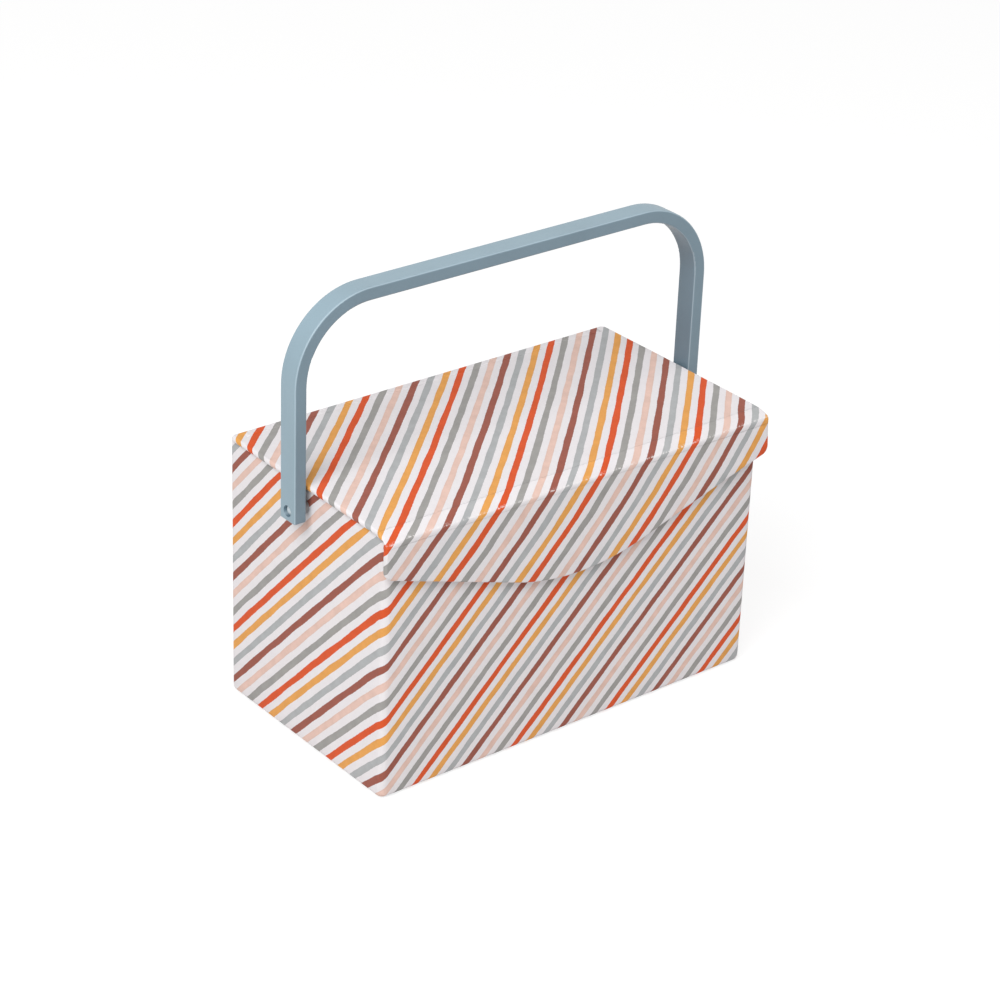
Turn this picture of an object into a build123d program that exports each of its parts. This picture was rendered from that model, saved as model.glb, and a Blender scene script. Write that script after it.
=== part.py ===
from build123d import *

import math
import os

# Cloth-covered sewing box with a swinging handle, a hinged lid and a hanging front flap.
# Millimetres, +Z up. X runs along the box, the front is at -Y, and the origin is the centre of
# the underside. Every piece is a node of its own, written to parts/NODE.step.

# Box, measured over its cloth
body_width = 300.0
body_depth = 165.0
wall_top = 182.8
upright_edge_radius = 5.0
lower_edge_radius = 4.5

# Layers of the box
cover_thickness = 1.0
wall_board_thickness = 4.5
base_board_thickness = 4.5
wall_lining_thickness = 0.8
base_lining_thickness = 1.0
base_cover_thickness = 0.8
base_cover_margin = 9.0
cover_hem_width = 14.0

# Lid, from its seat on the walls up to the cloth of its top
lid_overhang = 2.5
lid_front_setback = 5.0
lid_seat_gap = 0.3
lid_lining_thickness = 0.6
lid_board_thickness = 2.2
lid_wadding_thickness = 0.4
lid_cover_thickness = 0.6
lid_edge_radius = 1.8
lid_corner_radius = 4.0
lid_hem_width = 10.0

# Cloth hinges, drawn as rolls of cloth on the hinge axes
back_roll_radius = 2.0
crease_roll_radius = 3.2
crease_drop = 5.9
roll_gap = 0.3
back_roll_end_margin = 1.0

# Flap
flap_drop = 70.4
flap_side_drop = 28.8
flap_nose_radius = 166.0
flap_corner_radius = 7.0
flap_cover_thickness = 0.8
flap_board_thickness = 2.4
flap_lining_thickness = 0.8
flap_gap = 0.5

# Magnets of the flap and the steel discs that they pull on
magnet_spacing = 90.0
magnet_above_nose = 17.5
magnet_diameter = 12.0
magnet_thickness = 2.0
disc_diameter = 14.0
disc_thickness = 1.0
pocket_gap = 0.1

# Handle
handle_width = 15.5
handle_thickness = 8.8
handle_corner_radius = 55.0
handle_rise = 137.1
handle_tail = 7.0
handle_edge_radius = 1.2
leg_gap = 4.0
pivot_drop = 12.8
counterbore_diameter = 7.6
counterbore_depth = 2.4

# Pivot screws and what they pass through
shoulder_diameter = 5.0
thread_diameter = 4.0
screw_head_diameter = 6.8
screw_head_height = 1.5
leg_play = 0.15
running_clearance = 0.05
spacer_diameter = 10.0
spacer_clearance = 0.1
nut_barrel_diameter = 6.0
nut_head_diameter = 11.0
nut_head_height = 1.4
nut_slot_width = 1.0
nut_slot_depth = 0.7
nut_clearance = 0.1
washer_diameter = 14.0
washer_thickness = 0.8

# Lift-out tray and the ledges that it sits on
ledge_width = 10.0
ledge_height = 10.0
ledge_end_gap = 0.5
tray_height = 38.0
tray_rim_drop = 27.8
tray_wall = 1.8
tray_floor = 1.8
tray_lip_width = 1.5
tray_lip_height = 2.0
tray_side_gap = 0.5
tray_end_gap = 1.5
tray_seat_gap = 0.3
tray_corner_radius = 6.0
compartment_radius = 3.0
divider_thickness = 1.6
divider_drop = 3.0
front_row_depth = 60.0
front_row_count = 2
back_row_count = 4

# Fittings on the underside of the lid
cushion_length = 112.0
cushion_width = 62.0
cushion_height = 10.0
cushion_corner_radius = 9.0
cushion_centre_x = 68.0
cushion_centre_y = -4.0
# Where the cushion's side changes: share of its height below the lining, and how far it is
# drawn in from its widest outline there
cushion_seam_inset = 2.0
cushion_widest_share = 0.3
cushion_shoulder_share = 0.6
cushion_shoulder_inset = 0.8
cushion_brow_share = 0.85
cushion_brow_inset = 4.5
cushion_face_inset = 12.0
pocket_width = 112.0
pocket_length = 96.0
pocket_height = 8.0
pocket_cloth = 1.0
pocket_hem_width = 8.0
pocket_hem_thickness = 2.4
pocket_corner_radius = 6.0
pocket_centre_x = -66.0
pocket_centre_y = -4.0
elastic_width = 5.6
elastic_thickness = 0.7
elastic_gap = 0.15

# Places worked out from the sizes above
half_width = body_width / 2
half_depth = body_depth / 2
board_half_width = half_width - cover_thickness
board_half_depth = half_depth - cover_thickness
inner_half_width = board_half_width - wall_board_thickness
inner_half_depth = board_half_depth - wall_board_thickness
lined_half_width = inner_half_width - wall_lining_thickness
lined_half_depth = inner_half_depth - wall_lining_thickness
board_low = base_cover_thickness + cover_thickness
board_high = wall_top - cover_thickness
base_board_top = board_low + base_board_thickness

lid_low = wall_top + lid_seat_gap
lid_board_low = lid_low + lid_lining_thickness
lid_wadding_low = lid_board_low + lid_board_thickness
lid_cover_low = lid_wadding_low + lid_wadding_thickness
lid_top = lid_cover_low + lid_cover_thickness
lid_half_width = half_width + lid_overhang

flap_back_y = -half_depth - flap_gap
flap_front_y = flap_back_y - flap_lining_thickness - flap_board_thickness - flap_cover_thickness
crease_y = flap_front_y + crease_roll_radius
crease_z = lid_top - crease_drop
back_roll_y = half_depth - back_roll_radius
back_roll_z = wall_top + back_roll_radius
lid_front_y = -half_depth + lid_front_setback
lid_back_y = back_roll_y - back_roll_radius - roll_gap
flap_top_z = crease_z - crease_roll_radius - roll_gap
flap_nose_z = lid_top - flap_drop
magnet_z = flap_nose_z + magnet_above_nose

pivot_z = wall_top - pivot_drop
leg_inner_x = half_width + leg_gap
leg_outer_x = leg_inner_x + handle_thickness
handle_top = pivot_z + handle_rise
washer_x = lined_half_width - washer_thickness
nut_end_x = washer_x - nut_head_height

tray_rim_z = wall_top - tray_rim_drop
tray_low = tray_rim_z - tray_height
ledge_top = tray_low - tray_seat_gap
tray_rim_half_width = nut_end_x - tray_end_gap
tray_rim_half_depth = lined_half_depth - tray_side_gap
tray_half_width = tray_rim_half_width - tray_lip_width
tray_half_depth = tray_rim_half_depth - tray_lip_width

# Longer than anything in the model, for tools that cut right through
through = 4 * body_width


def box_between(low, high):
    """Box from its lowest to its highest corner."""
    size = [top - bottom for bottom, top in zip(low, high)]
    middle = [(top + bottom) / 2 for bottom, top in zip(low, high)]
    return Pos(*middle) * Box(*size)


def centred_box(half_x, half_y, z_low, z_high):
    """Box centred on the Z axis between two heights."""
    return box_between((-half_x, -half_y, z_low), (half_x, half_y, z_high))


def rod_along_x(x_from, x_to, radius, y=0.0, z=pivot_z):
    """Round bar parallel to X between two places."""
    middle = Pos((x_from + x_to) / 2, y, z)
    return middle * Rotation(0, 90, 0) * Cylinder(radius, abs(x_to - x_from))


def both_ends(piece):
    """The piece at the right end and its mirror image at the left end."""
    return piece + mirror(piece, about=Plane.YZ)


def slab_facing_front(outline, y_front, y_back):
    """Slab with an outline drawn in X and Z, between two places along Y."""
    back_plane = Plane(origin=(0, y_back, 0), x_dir=(1, 0, 0), z_dir=(0, -1, 0))
    return extrude(back_plane * outline, amount=y_back - y_front)


def barrel_bores():
    """What the barrels of the sleeve nuts take out of each end panel."""
    radius = nut_barrel_diameter / 2 + nut_clearance
    return rod_along_x(-through / 2, through / 2, radius)


# Walls and base


def rounded_body(inset, z_low, z_high):
    """The box's outer form, moved inwards, with its upright and lower edges rounded."""
    block = centred_box(half_width - inset, half_depth - inset, z_low, z_high)
    block = fillet(block.edges().filter_by(Axis.Z), upright_edge_radius - inset)
    underside = block.faces().sort_by(Axis.Z)[0]
    return fillet(underside.edges(), lower_edge_radius - inset)


def board_form():
    """Everything inside the cloth cover."""
    return rounded_body(cover_thickness, board_low, board_high)


def front_board():
    low = (-board_half_width, -board_half_depth, board_low)
    high = (board_half_width, -inner_half_depth, board_high)
    board = board_form() & box_between(low, high)
    disc_back = -board_half_depth + disc_thickness
    for x in (-magnet_spacing / 2, magnet_spacing / 2):
        outline = Pos(x, magnet_z) * Circle(disc_diameter / 2 + pocket_gap)
        board -= slab_facing_front(outline, -board_half_depth, disc_back)
    return board


def back_board():
    low = (-board_half_width, inner_half_depth, board_low)
    high = (board_half_width, board_half_depth, board_high)
    return board_form() & box_between(low, high)


def end_board(side):
    """End board between the front and back boards, bored for the pivot; side is -1 or 1."""
    x_values = sorted((side * inner_half_width, side * board_half_width))
    low = (x_values[0], -inner_half_depth, board_low)
    high = (x_values[1], inner_half_depth, board_high)
    return (board_form() & box_between(low, high)) - barrel_bores()


def base_board():
    return centred_box(inner_half_width, inner_half_depth, board_low, base_board_top)


def outer_cover():
    """Printed cloth round the walls, over their top edges and turned in under the base."""
    cloth = rounded_body(0, base_cover_thickness, wall_top) - board_form()
    cloth -= centred_box(inner_half_width, inner_half_depth, board_low, wall_top)
    hem_half_width = half_width - cover_hem_width
    hem_half_depth = half_depth - cover_hem_width
    cloth -= centred_box(hem_half_width, hem_half_depth, base_cover_thickness, board_low)
    return cloth - barrel_bores()


def base_cover():
    """Sheet glued under the box, over the turned-in hem, with packing inside the hem."""
    sheet_half_width = half_width - base_cover_margin
    sheet_half_depth = half_depth - base_cover_margin
    sheet = centred_box(sheet_half_width, sheet_half_depth, 0, base_cover_thickness)
    packing_half_width = half_width - cover_hem_width
    packing_half_depth = half_depth - cover_hem_width
    packing = centred_box(packing_half_width, packing_half_depth, 0, board_low)
    return sheet + packing


def wall_lining():
    tube = centred_box(inner_half_width, inner_half_depth, base_board_top, wall_top)
    tube -= centred_box(lined_half_width, lined_half_depth, base_board_top, wall_top)
    return tube - barrel_bores()


def base_lining():
    top = base_board_top + base_lining_thickness
    return centred_box(lined_half_width, lined_half_depth, base_board_top, top)


def back_hinge_cloth():
    """Roll of cloth on the lid's hinge axis and its foot on the back wall."""
    half_length = lid_half_width - back_roll_end_margin
    roll = rod_along_x(-half_length, half_length, back_roll_radius, back_roll_y, back_roll_z)
    foot_low = (-half_length, back_roll_y, wall_top)
    foot_high = (half_length, half_depth, back_roll_z)
    return roll + box_between(foot_low, foot_high)


def strike_discs():
    """Steel discs let into the front board behind the cloth."""
    disc = Pos(magnet_spacing / 2, magnet_z) * Circle(disc_diameter / 2)
    disc_back = -board_half_depth + disc_thickness
    return both_ends(slab_facing_front(disc, -board_half_depth, disc_back))


# Tray


def tray_ledge(side):
    """Strip glued to the lining of one end; side is -1 or 1."""
    wall_x = side * lined_half_width
    x_values = sorted((wall_x, wall_x - side * ledge_width))
    half_length = lined_half_depth - ledge_end_gap
    low = (x_values[0], -half_length, ledge_top - ledge_height)
    high = (x_values[1], half_length, ledge_top)
    return box_between(low, high)


def rounded_box(low, high, radius):
    """Box with rounded upright edges."""
    block = box_between(low, high)
    return fillet(block.edges().filter_by(Axis.Z), radius)


def compartments():
    """What the compartments take out of the tray: a front and a back row of pockets."""
    inner_x = tray_half_width - tray_wall
    inner_y = tray_half_depth - tray_wall
    split_y = -inner_y + front_row_depth
    rows = (
        (front_row_count, -inner_y, split_y),
        (back_row_count, split_y + divider_thickness, inner_y),
    )
    floor_z = tray_low + tray_floor
    hollows = []
    for count, y_low, y_high in rows:
        pitch = (2 * inner_x + divider_thickness) / count
        for index in range(count):
            x_low = -inner_x + index * pitch
            x_high = x_low + pitch - divider_thickness
            low = (x_low, y_low, floor_z)
            high = (x_high, y_high, tray_rim_z)
            hollows.append(rounded_box(low, high, compartment_radius))
    return hollows


def lift_out_tray():
    """Moulded tray: walls with a lip, a floor, and dividers a little lower than the rim."""
    body_low = (-tray_half_width, -tray_half_depth, tray_low)
    body_high = (tray_half_width, tray_half_depth, tray_rim_z)
    tray = rounded_box(body_low, body_high, tray_corner_radius)
    lip_low = (-tray_rim_half_width, -tray_rim_half_depth, tray_rim_z - tray_lip_height)
    lip_high = (tray_rim_half_width, tray_rim_half_depth, tray_rim_z)
    tray += rounded_box(lip_low, lip_high, tray_corner_radius + tray_lip_width)
    for hollow in compartments():
        tray -= hollow
    inner_x = tray_half_width - tray_wall
    inner_y = tray_half_depth - tray_wall
    above_low = (-inner_x, -inner_y, tray_rim_z - divider_drop)
    above_high = (inner_x, inner_y, tray_rim_z)
    return tray - rounded_box(above_low, above_high, compartment_radius)


# Lid


def lid_form(inset, z_low, z_high):
    """The lid's form, moved inwards, with its top and rear edges rounded."""
    low = (-lid_half_width + inset, lid_front_y + inset, z_low)
    high = (lid_half_width - inset, lid_back_y - inset, z_high)
    block = box_between(low, high)
    rear_uprights = block.edges().filter_by(Axis.Z).group_by(Axis.Y)[-1]
    block = fillet(rear_uprights, lid_corner_radius - inset)
    top_edges = block.faces().sort_by(Axis.Z)[-1].edges()
    front_edge = top_edges.sort_by(Axis.Y)[0]
    eased_edges = [edge for edge in top_edges if edge != front_edge]
    return fillet(eased_edges, lid_edge_radius - inset)


def lid_core():
    """Board and wadding together, inside the lid's cloth."""
    return lid_form(lid_cover_thickness, lid_board_low, lid_cover_low)


def lid_board():
    return lid_core() & centred_box(through, through, lid_board_low, lid_wadding_low)


def lid_wadding():
    return lid_core() & centred_box(through, through, lid_wadding_low, lid_cover_low)


def lid_lining_window():
    """The part of the underside inside the cloth's hem."""
    low = (-lid_half_width + lid_hem_width, lid_front_y + lid_hem_width, lid_low)
    high = (lid_half_width - lid_hem_width, lid_back_y - lid_hem_width, lid_board_low)
    return box_between(low, high)


def lid_cover():
    """Printed cloth over the lid, turned in under its edges."""
    return lid_form(0, lid_low, lid_top) - lid_core() - lid_lining_window()


def crease_hinge_cloth():
    """Sloping strip from the lid's front edge to the rounded fold that the flap hangs from."""
    roll = rod_along_x(-lid_half_width, lid_half_width, crease_roll_radius, crease_y, crease_z)
    roll &= box_between((-through, crease_y - through, 0), (through, crease_y, through))
    end_face = Plane(origin=(-lid_half_width, 0, 0), x_dir=(0, 1, 0), z_dir=(1, 0, 0))
    outline = Polyline(
        (lid_front_y, lid_low),
        (lid_front_y, lid_top),
        (crease_y, crease_z + crease_roll_radius),
        (crease_y, lid_low),
        close=True,
    )
    return roll + extrude(end_face * make_face(outline), amount=2 * lid_half_width)


def pin_cushion():
    """Stuffed pad under the lid: drawn-in seam at the lining, full sides, crowned face."""
    sections = []
    seam = (0, cushion_seam_inset)
    widest = (cushion_widest_share, 0)
    shoulder = (cushion_shoulder_share, cushion_shoulder_inset)
    brow = (cushion_brow_share, cushion_brow_inset)
    face = (1, cushion_face_inset)
    for drop_share, inset in (seam, widest, shoulder, brow, face):
        outline = RectangleRounded(
            cushion_length - 2 * inset,
            cushion_width - 2 * inset,
            cushion_corner_radius,
        )
        height = lid_low - drop_share * cushion_height
        sections.append(Pos(cushion_centre_x, cushion_centre_y, height) * outline)
    return loft(sections)


def lid_pocket():
    """Pocket sewn to the lining on three sides, with a hemmed mouth towards the front."""
    x_low = pocket_centre_x - pocket_width / 2
    x_high = pocket_centre_x + pocket_width / 2
    y_low = pocket_centre_y - pocket_length / 2
    y_high = pocket_centre_y + pocket_length / 2
    face_z = lid_low - pocket_height
    block = box_between((x_low, y_low, face_z), (x_high, y_high, lid_low))
    closed_corners = block.edges().filter_by(Axis.Z).group_by(Axis.Y)[-1]
    block = fillet(closed_corners, pocket_corner_radius)
    hollow = box_between(
        (x_low + pocket_cloth, y_low - through, face_z + pocket_cloth),
        (x_high - pocket_cloth, y_high - pocket_cloth, lid_low),
    )
    inner_corners = hollow.edges().filter_by(Axis.Z).group_by(Axis.Y)[-1]
    hollow = fillet(inner_corners, pocket_corner_radius - pocket_cloth)
    hem_high = (x_high, y_low + pocket_hem_width, face_z + pocket_hem_thickness)
    hem = box_between((x_low, y_low, face_z), hem_high)
    return block - hollow + hem - elastic_form(elastic_gap)


def elastic_form(clearance):
    """The elastic's place in the pocket's hem, with room round it."""
    half_length = pocket_width / 2 - pocket_cloth
    middle_y = pocket_centre_y - pocket_length / 2 + pocket_hem_width / 2
    middle_z = lid_low - pocket_height + pocket_hem_thickness / 2
    size_y = elastic_width + 2 * clearance
    size_z = elastic_thickness + 2 * clearance
    return Pos(pocket_centre_x, middle_y, middle_z) * Box(2 * half_length, size_y, size_z)


# Flap


def flap_outline(inset):
    """Straight top and short sides, slanting flanks, and a broad round nose between them."""
    side_z = lid_top - flap_side_drop
    nose_centre_z = flap_nose_z + flap_nose_radius
    corner_distance = math.hypot(lid_half_width, side_z - nose_centre_z)
    corner_angle = math.atan2(side_z - nose_centre_z, lid_half_width)
    touch_angle = corner_angle - math.acos(flap_nose_radius / corner_distance)
    touch_x = flap_nose_radius * math.cos(touch_angle)
    touch_z = nose_centre_z + flap_nose_radius * math.sin(touch_angle)
    outline = make_face(
        [
            Line((-lid_half_width, flap_top_z), (lid_half_width, flap_top_z)),
            Line((lid_half_width, flap_top_z), (lid_half_width, side_z)),
            Line((lid_half_width, side_z), (touch_x, touch_z)),
            ThreePointArc((touch_x, touch_z), (0, flap_nose_z), (-touch_x, touch_z)),
            Line((-touch_x, touch_z), (-lid_half_width, side_z)),
            Line((-lid_half_width, side_z), (-lid_half_width, flap_top_z)),
        ]
    )
    side_corners = outline.vertices().group_by(Axis.Y)[-2]
    outline = fillet(side_corners, flap_corner_radius)
    if inset > 0:
        outline = offset(outline, amount=-inset)
    return outline


def flap_cover():
    """Printed cloth over the flap's face and round its edges."""
    cloth = slab_facing_front(flap_outline(0), flap_front_y, flap_back_y)
    face_back = flap_front_y + flap_cover_thickness
    inner = flap_outline(flap_cover_thickness)
    return cloth - slab_facing_front(inner, face_back, flap_back_y)


def flap_board():
    front = flap_front_y + flap_cover_thickness
    back = flap_back_y - flap_lining_thickness
    board = slab_facing_front(flap_outline(flap_cover_thickness), front, back)
    for x in (-magnet_spacing / 2, magnet_spacing / 2):
        recess = Pos(x, magnet_z) * Circle(magnet_diameter / 2 + pocket_gap)
        board -= slab_facing_front(recess, back - magnet_thickness, back)
    return board


def flap_lining():
    front = flap_back_y - flap_lining_thickness
    return slab_facing_front(flap_outline(flap_cover_thickness), front, flap_back_y)


def flap_magnets():
    back = flap_back_y - flap_lining_thickness
    magnet = Pos(magnet_spacing / 2, magnet_z) * Circle(magnet_diameter / 2)
    return both_ends(slab_facing_front(magnet, back - magnet_thickness, back))


# Handle and its pivots


def handle_outline(inset):
    """Upright U-shaped outline with two round corners, moved inwards."""
    low = pivot_z - handle_tail
    high = handle_top - inset
    width = 2 * (leg_outer_x - inset)
    outline = Pos(0, (low + high) / 2) * Rectangle(width, high - low)
    top_corners = outline.vertices().group_by(Axis.Y)[-1]
    return fillet(top_corners, handle_corner_radius - inset)


def handle():
    """Flat bar bent to a U, with eased edges and a stepped bore at the foot of each leg."""
    outline = handle_outline(0) - handle_outline(handle_thickness)
    bar = slab_facing_front(outline, -handle_width / 2, handle_width / 2)
    side_edges = bar.faces().filter_by(Axis.Y).edges()
    leg_ends = bar.faces().group_by(Axis.Z)[0]
    end_edges = leg_ends.edges().filter_by(Axis.Y)
    bar = fillet(side_edges + end_edges, handle_edge_radius)
    bore_radius = shoulder_diameter / 2 + running_clearance
    bar -= rod_along_x(-through / 2, through / 2, bore_radius)
    counterbore_x = leg_outer_x - counterbore_depth
    return bar - both_ends(rod_along_x(counterbore_x, through / 2, counterbore_diameter / 2))


def pivot_screws():
    """Shoulder screw at each end: head sunk in the leg, smooth shoulder, thread in the nut."""
    head_x = leg_outer_x - counterbore_depth + leg_play
    head_radius = screw_head_diameter / 2
    dome_radius = (head_radius**2 + screw_head_height**2) / (2 * screw_head_height)
    dome_centre_x = head_x + screw_head_height - dome_radius
    half_angle = math.atan2(head_radius, head_x - dome_centre_x) / 2
    dome_middle = (
        dome_centre_x + dome_radius * math.cos(half_angle),
        dome_radius * math.sin(half_angle),
    )
    thread_radius = thread_diameter / 2
    shoulder_radius = shoulder_diameter / 2
    dome_tip = (head_x + screw_head_height, 0)
    half_section = make_face(
        [
            Polyline(
                dome_tip,
                (nut_end_x, 0),
                (nut_end_x, thread_radius),
                (half_width, thread_radius),
                (half_width, shoulder_radius),
                (head_x, shoulder_radius),
                (head_x, head_radius),
            ),
            ThreePointArc((head_x, head_radius), dome_middle, dome_tip),
        ]
    )
    return both_ends(Pos(0, 0, pivot_z) * revolve(half_section, Axis.X))


def leg_spacers():
    """Ring on each shoulder that keeps the leg off the end panel."""
    ring = rod_along_x(half_width, leg_inner_x - leg_play, spacer_diameter / 2)
    bore = shoulder_diameter / 2 + spacer_clearance
    return both_ends(ring - rod_along_x(half_width, leg_inner_x, bore))


def sleeve_nuts():
    """Slotted flat-headed nut from inside the box, its barrel through the end panel."""
    head = rod_along_x(nut_end_x, washer_x, nut_head_diameter / 2)
    slot_low = (nut_end_x, -nut_head_diameter, pivot_z - nut_slot_width / 2)
    slot_high = (nut_end_x + nut_slot_depth, nut_head_diameter, pivot_z + nut_slot_width / 2)
    head -= box_between(slot_low, slot_high)
    barrel = rod_along_x(washer_x, half_width, nut_barrel_diameter / 2)
    bore = rod_along_x(nut_end_x, half_width, thread_diameter / 2 + running_clearance)
    return both_ends(head + barrel - bore)


def inner_washers():
    ring = rod_along_x(washer_x, lined_half_width, washer_diameter / 2)
    bore = nut_barrel_diameter / 2 + nut_clearance
    return both_ends(ring - rod_along_x(washer_x, lined_half_width, bore))


def all_nodes():
    """Every piece by the name of its node."""
    return {
        "base_board": base_board(),
        "front_board": front_board(),
        "back_board": back_board(),
        "left_end_board": end_board(-1),
        "right_end_board": end_board(1),
        "outer_cover": outer_cover(),
        "base_cover": base_cover(),
        "wall_lining": wall_lining(),
        "base_lining": base_lining(),
        "strike_discs": strike_discs(),
        "left_tray_ledge": tray_ledge(-1),
        "right_tray_ledge": tray_ledge(1),
        "lid_hinge_cloth": back_hinge_cloth(),
        "pivot_screws": pivot_screws(),
        "sleeve_nuts": sleeve_nuts(),
        "inner_washers": inner_washers(),
        "leg_spacers": leg_spacers(),
        "lift_out_tray": lift_out_tray(),
        "lid_board": lid_board(),
        "lid_wadding": lid_wadding(),
        "lid_cover": lid_cover(),
        "lid_lining": lid_lining_window(),
        "pin_cushion": pin_cushion(),
        "lid_pocket": lid_pocket(),
        "pocket_elastic": elastic_form(0),
        "flap_hinge_cloth": crease_hinge_cloth(),
        "flap_board": flap_board(),
        "flap_cover": flap_cover(),
        "flap_lining": flap_lining(),
        "flap_magnets": flap_magnets(),
        "handle": handle(),
    }


os.makedirs("parts", exist_ok=True)
for name, shape in all_nodes().items():
    export_step(shape, f"parts/{name}.step")
    print(name, len(shape.solids()), round(shape.volume, 1))
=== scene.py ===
import logging
import math
from dataclasses import dataclass, field
from enum import Enum
from functools import partial
from typing import Callable, Sequence

import bmesh
import bpy
from mathutils import Matrix, Vector, noise


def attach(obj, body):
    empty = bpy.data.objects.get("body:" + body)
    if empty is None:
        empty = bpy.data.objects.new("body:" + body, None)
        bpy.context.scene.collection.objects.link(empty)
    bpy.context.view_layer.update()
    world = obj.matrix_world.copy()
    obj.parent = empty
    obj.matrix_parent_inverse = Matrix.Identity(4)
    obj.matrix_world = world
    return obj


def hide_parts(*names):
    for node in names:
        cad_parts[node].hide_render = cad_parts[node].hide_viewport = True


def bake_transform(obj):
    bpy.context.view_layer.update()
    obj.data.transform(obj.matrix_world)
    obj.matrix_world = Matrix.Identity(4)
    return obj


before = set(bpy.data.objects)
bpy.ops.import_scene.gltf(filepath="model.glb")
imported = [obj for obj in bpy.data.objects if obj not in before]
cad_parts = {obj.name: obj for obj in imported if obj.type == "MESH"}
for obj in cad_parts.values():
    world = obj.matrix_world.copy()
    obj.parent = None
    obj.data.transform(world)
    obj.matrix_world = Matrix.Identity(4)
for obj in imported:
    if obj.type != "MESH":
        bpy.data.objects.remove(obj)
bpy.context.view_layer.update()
LOG = logging.getLogger("sewing_box")
MM = 0.001
QUARTER = math.pi / 2

# Most of a noise texture's values lie between these two
NOISE = (0.3, 0.7)
Point2 = tuple[float, float]
Point3 = tuple[float, float, float]
Node = bpy.types.Node
AddNode = Callable[..., Node]


class Held(Enum):
    """How a sheet of cloth is held."""

    STRETCHED = "stretched"
    LAID = "laid"
    FOLDED = "folded"
    GATHERED = "gathered"


# Colours and nodes


def linear(sheet_colour: str) -> tuple[float, float, float, float]:
    """Turns an sRGB hex colour into the linear values that a shader takes.

    Args:
        sheet_colour: Colour as #RRGGBB.

    Returns:
        Linear red, green and blue, and an alpha of one.
    """
    parts = [int(sheet_colour[i : i + 2], 16) / 255 for i in (1, 3, 5)]
    red, green, blue = [c / 12.92 if c <= 0.04045 else ((c + 0.055) / 1.055) ** 2.4 for c in parts]
    return red, green, blue, 1.0


def put(tree: bpy.types.NodeTree, kind: str, inputs: dict | Sequence = (), **settings) -> Node:
    """Adds one node, sets it and joins it to what feeds it.

    Args:
        tree: Tree that gets the node.
        kind: Blender's name for the kind of node; a shader node's goes without its ShaderNode.
        inputs: What feeds each input, by the input's name or place, or in the inputs' own order.
            It is a value, an output, or a node for that node's first output.
        settings: The node's own properties.

    Returns:
        The new node.
    """
    node = tree.nodes.new(kind if "Node" in kind else "ShaderNode" + kind)
    for key, value in settings.items():
        setattr(node, key, value)
    for key, value in inputs.items() if isinstance(inputs, dict) else enumerate(inputs):
        source = value.outputs[0] if isinstance(value, Node) else value
        if isinstance(source, bpy.types.NodeSocket):
            tree.links.new(source, node.inputs[key])
        else:
            node.inputs[key].default_value = source
    return node


def new_material(name: str) -> tuple[bpy.types.Material, AddNode]:
    """Makes an empty node material.

    Args:
        name: The material's name.

    Returns:
        The material, and the function that puts nodes in its tree.
    """
    material = bpy.data.materials.new(name)
    material.use_nodes = True
    material.node_tree.nodes.clear()
    return material, partial(put, material.node_tree)


def in_millimetres(add: AddNode) -> Node:
    """The piece's Object coordinates, in millimetres."""
    return add("VectorMath", {0: add("TexCoord").outputs["Object"], "Scale": 1000.0}, operation="SCALE")


def set_ramp(node: Node, stops: Sequence[tuple[float, tuple]], interpolation: str) -> None:
    """Writes the stops of a colour ramp.

    Args:
        node: Colour ramp node.
        stops: Place and colour of each stop.
        interpolation: Blender's name for how it goes from stop to stop.
    """
    ramp = node.color_ramp
    ramp.interpolation = interpolation
    while len(ramp.elements) < len(stops):
        ramp.elements.new(1.0)
    for element, (place, colour) in zip(ramp.elements, stops):
        element.position = place
        element.color = colour


# Finishes


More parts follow.
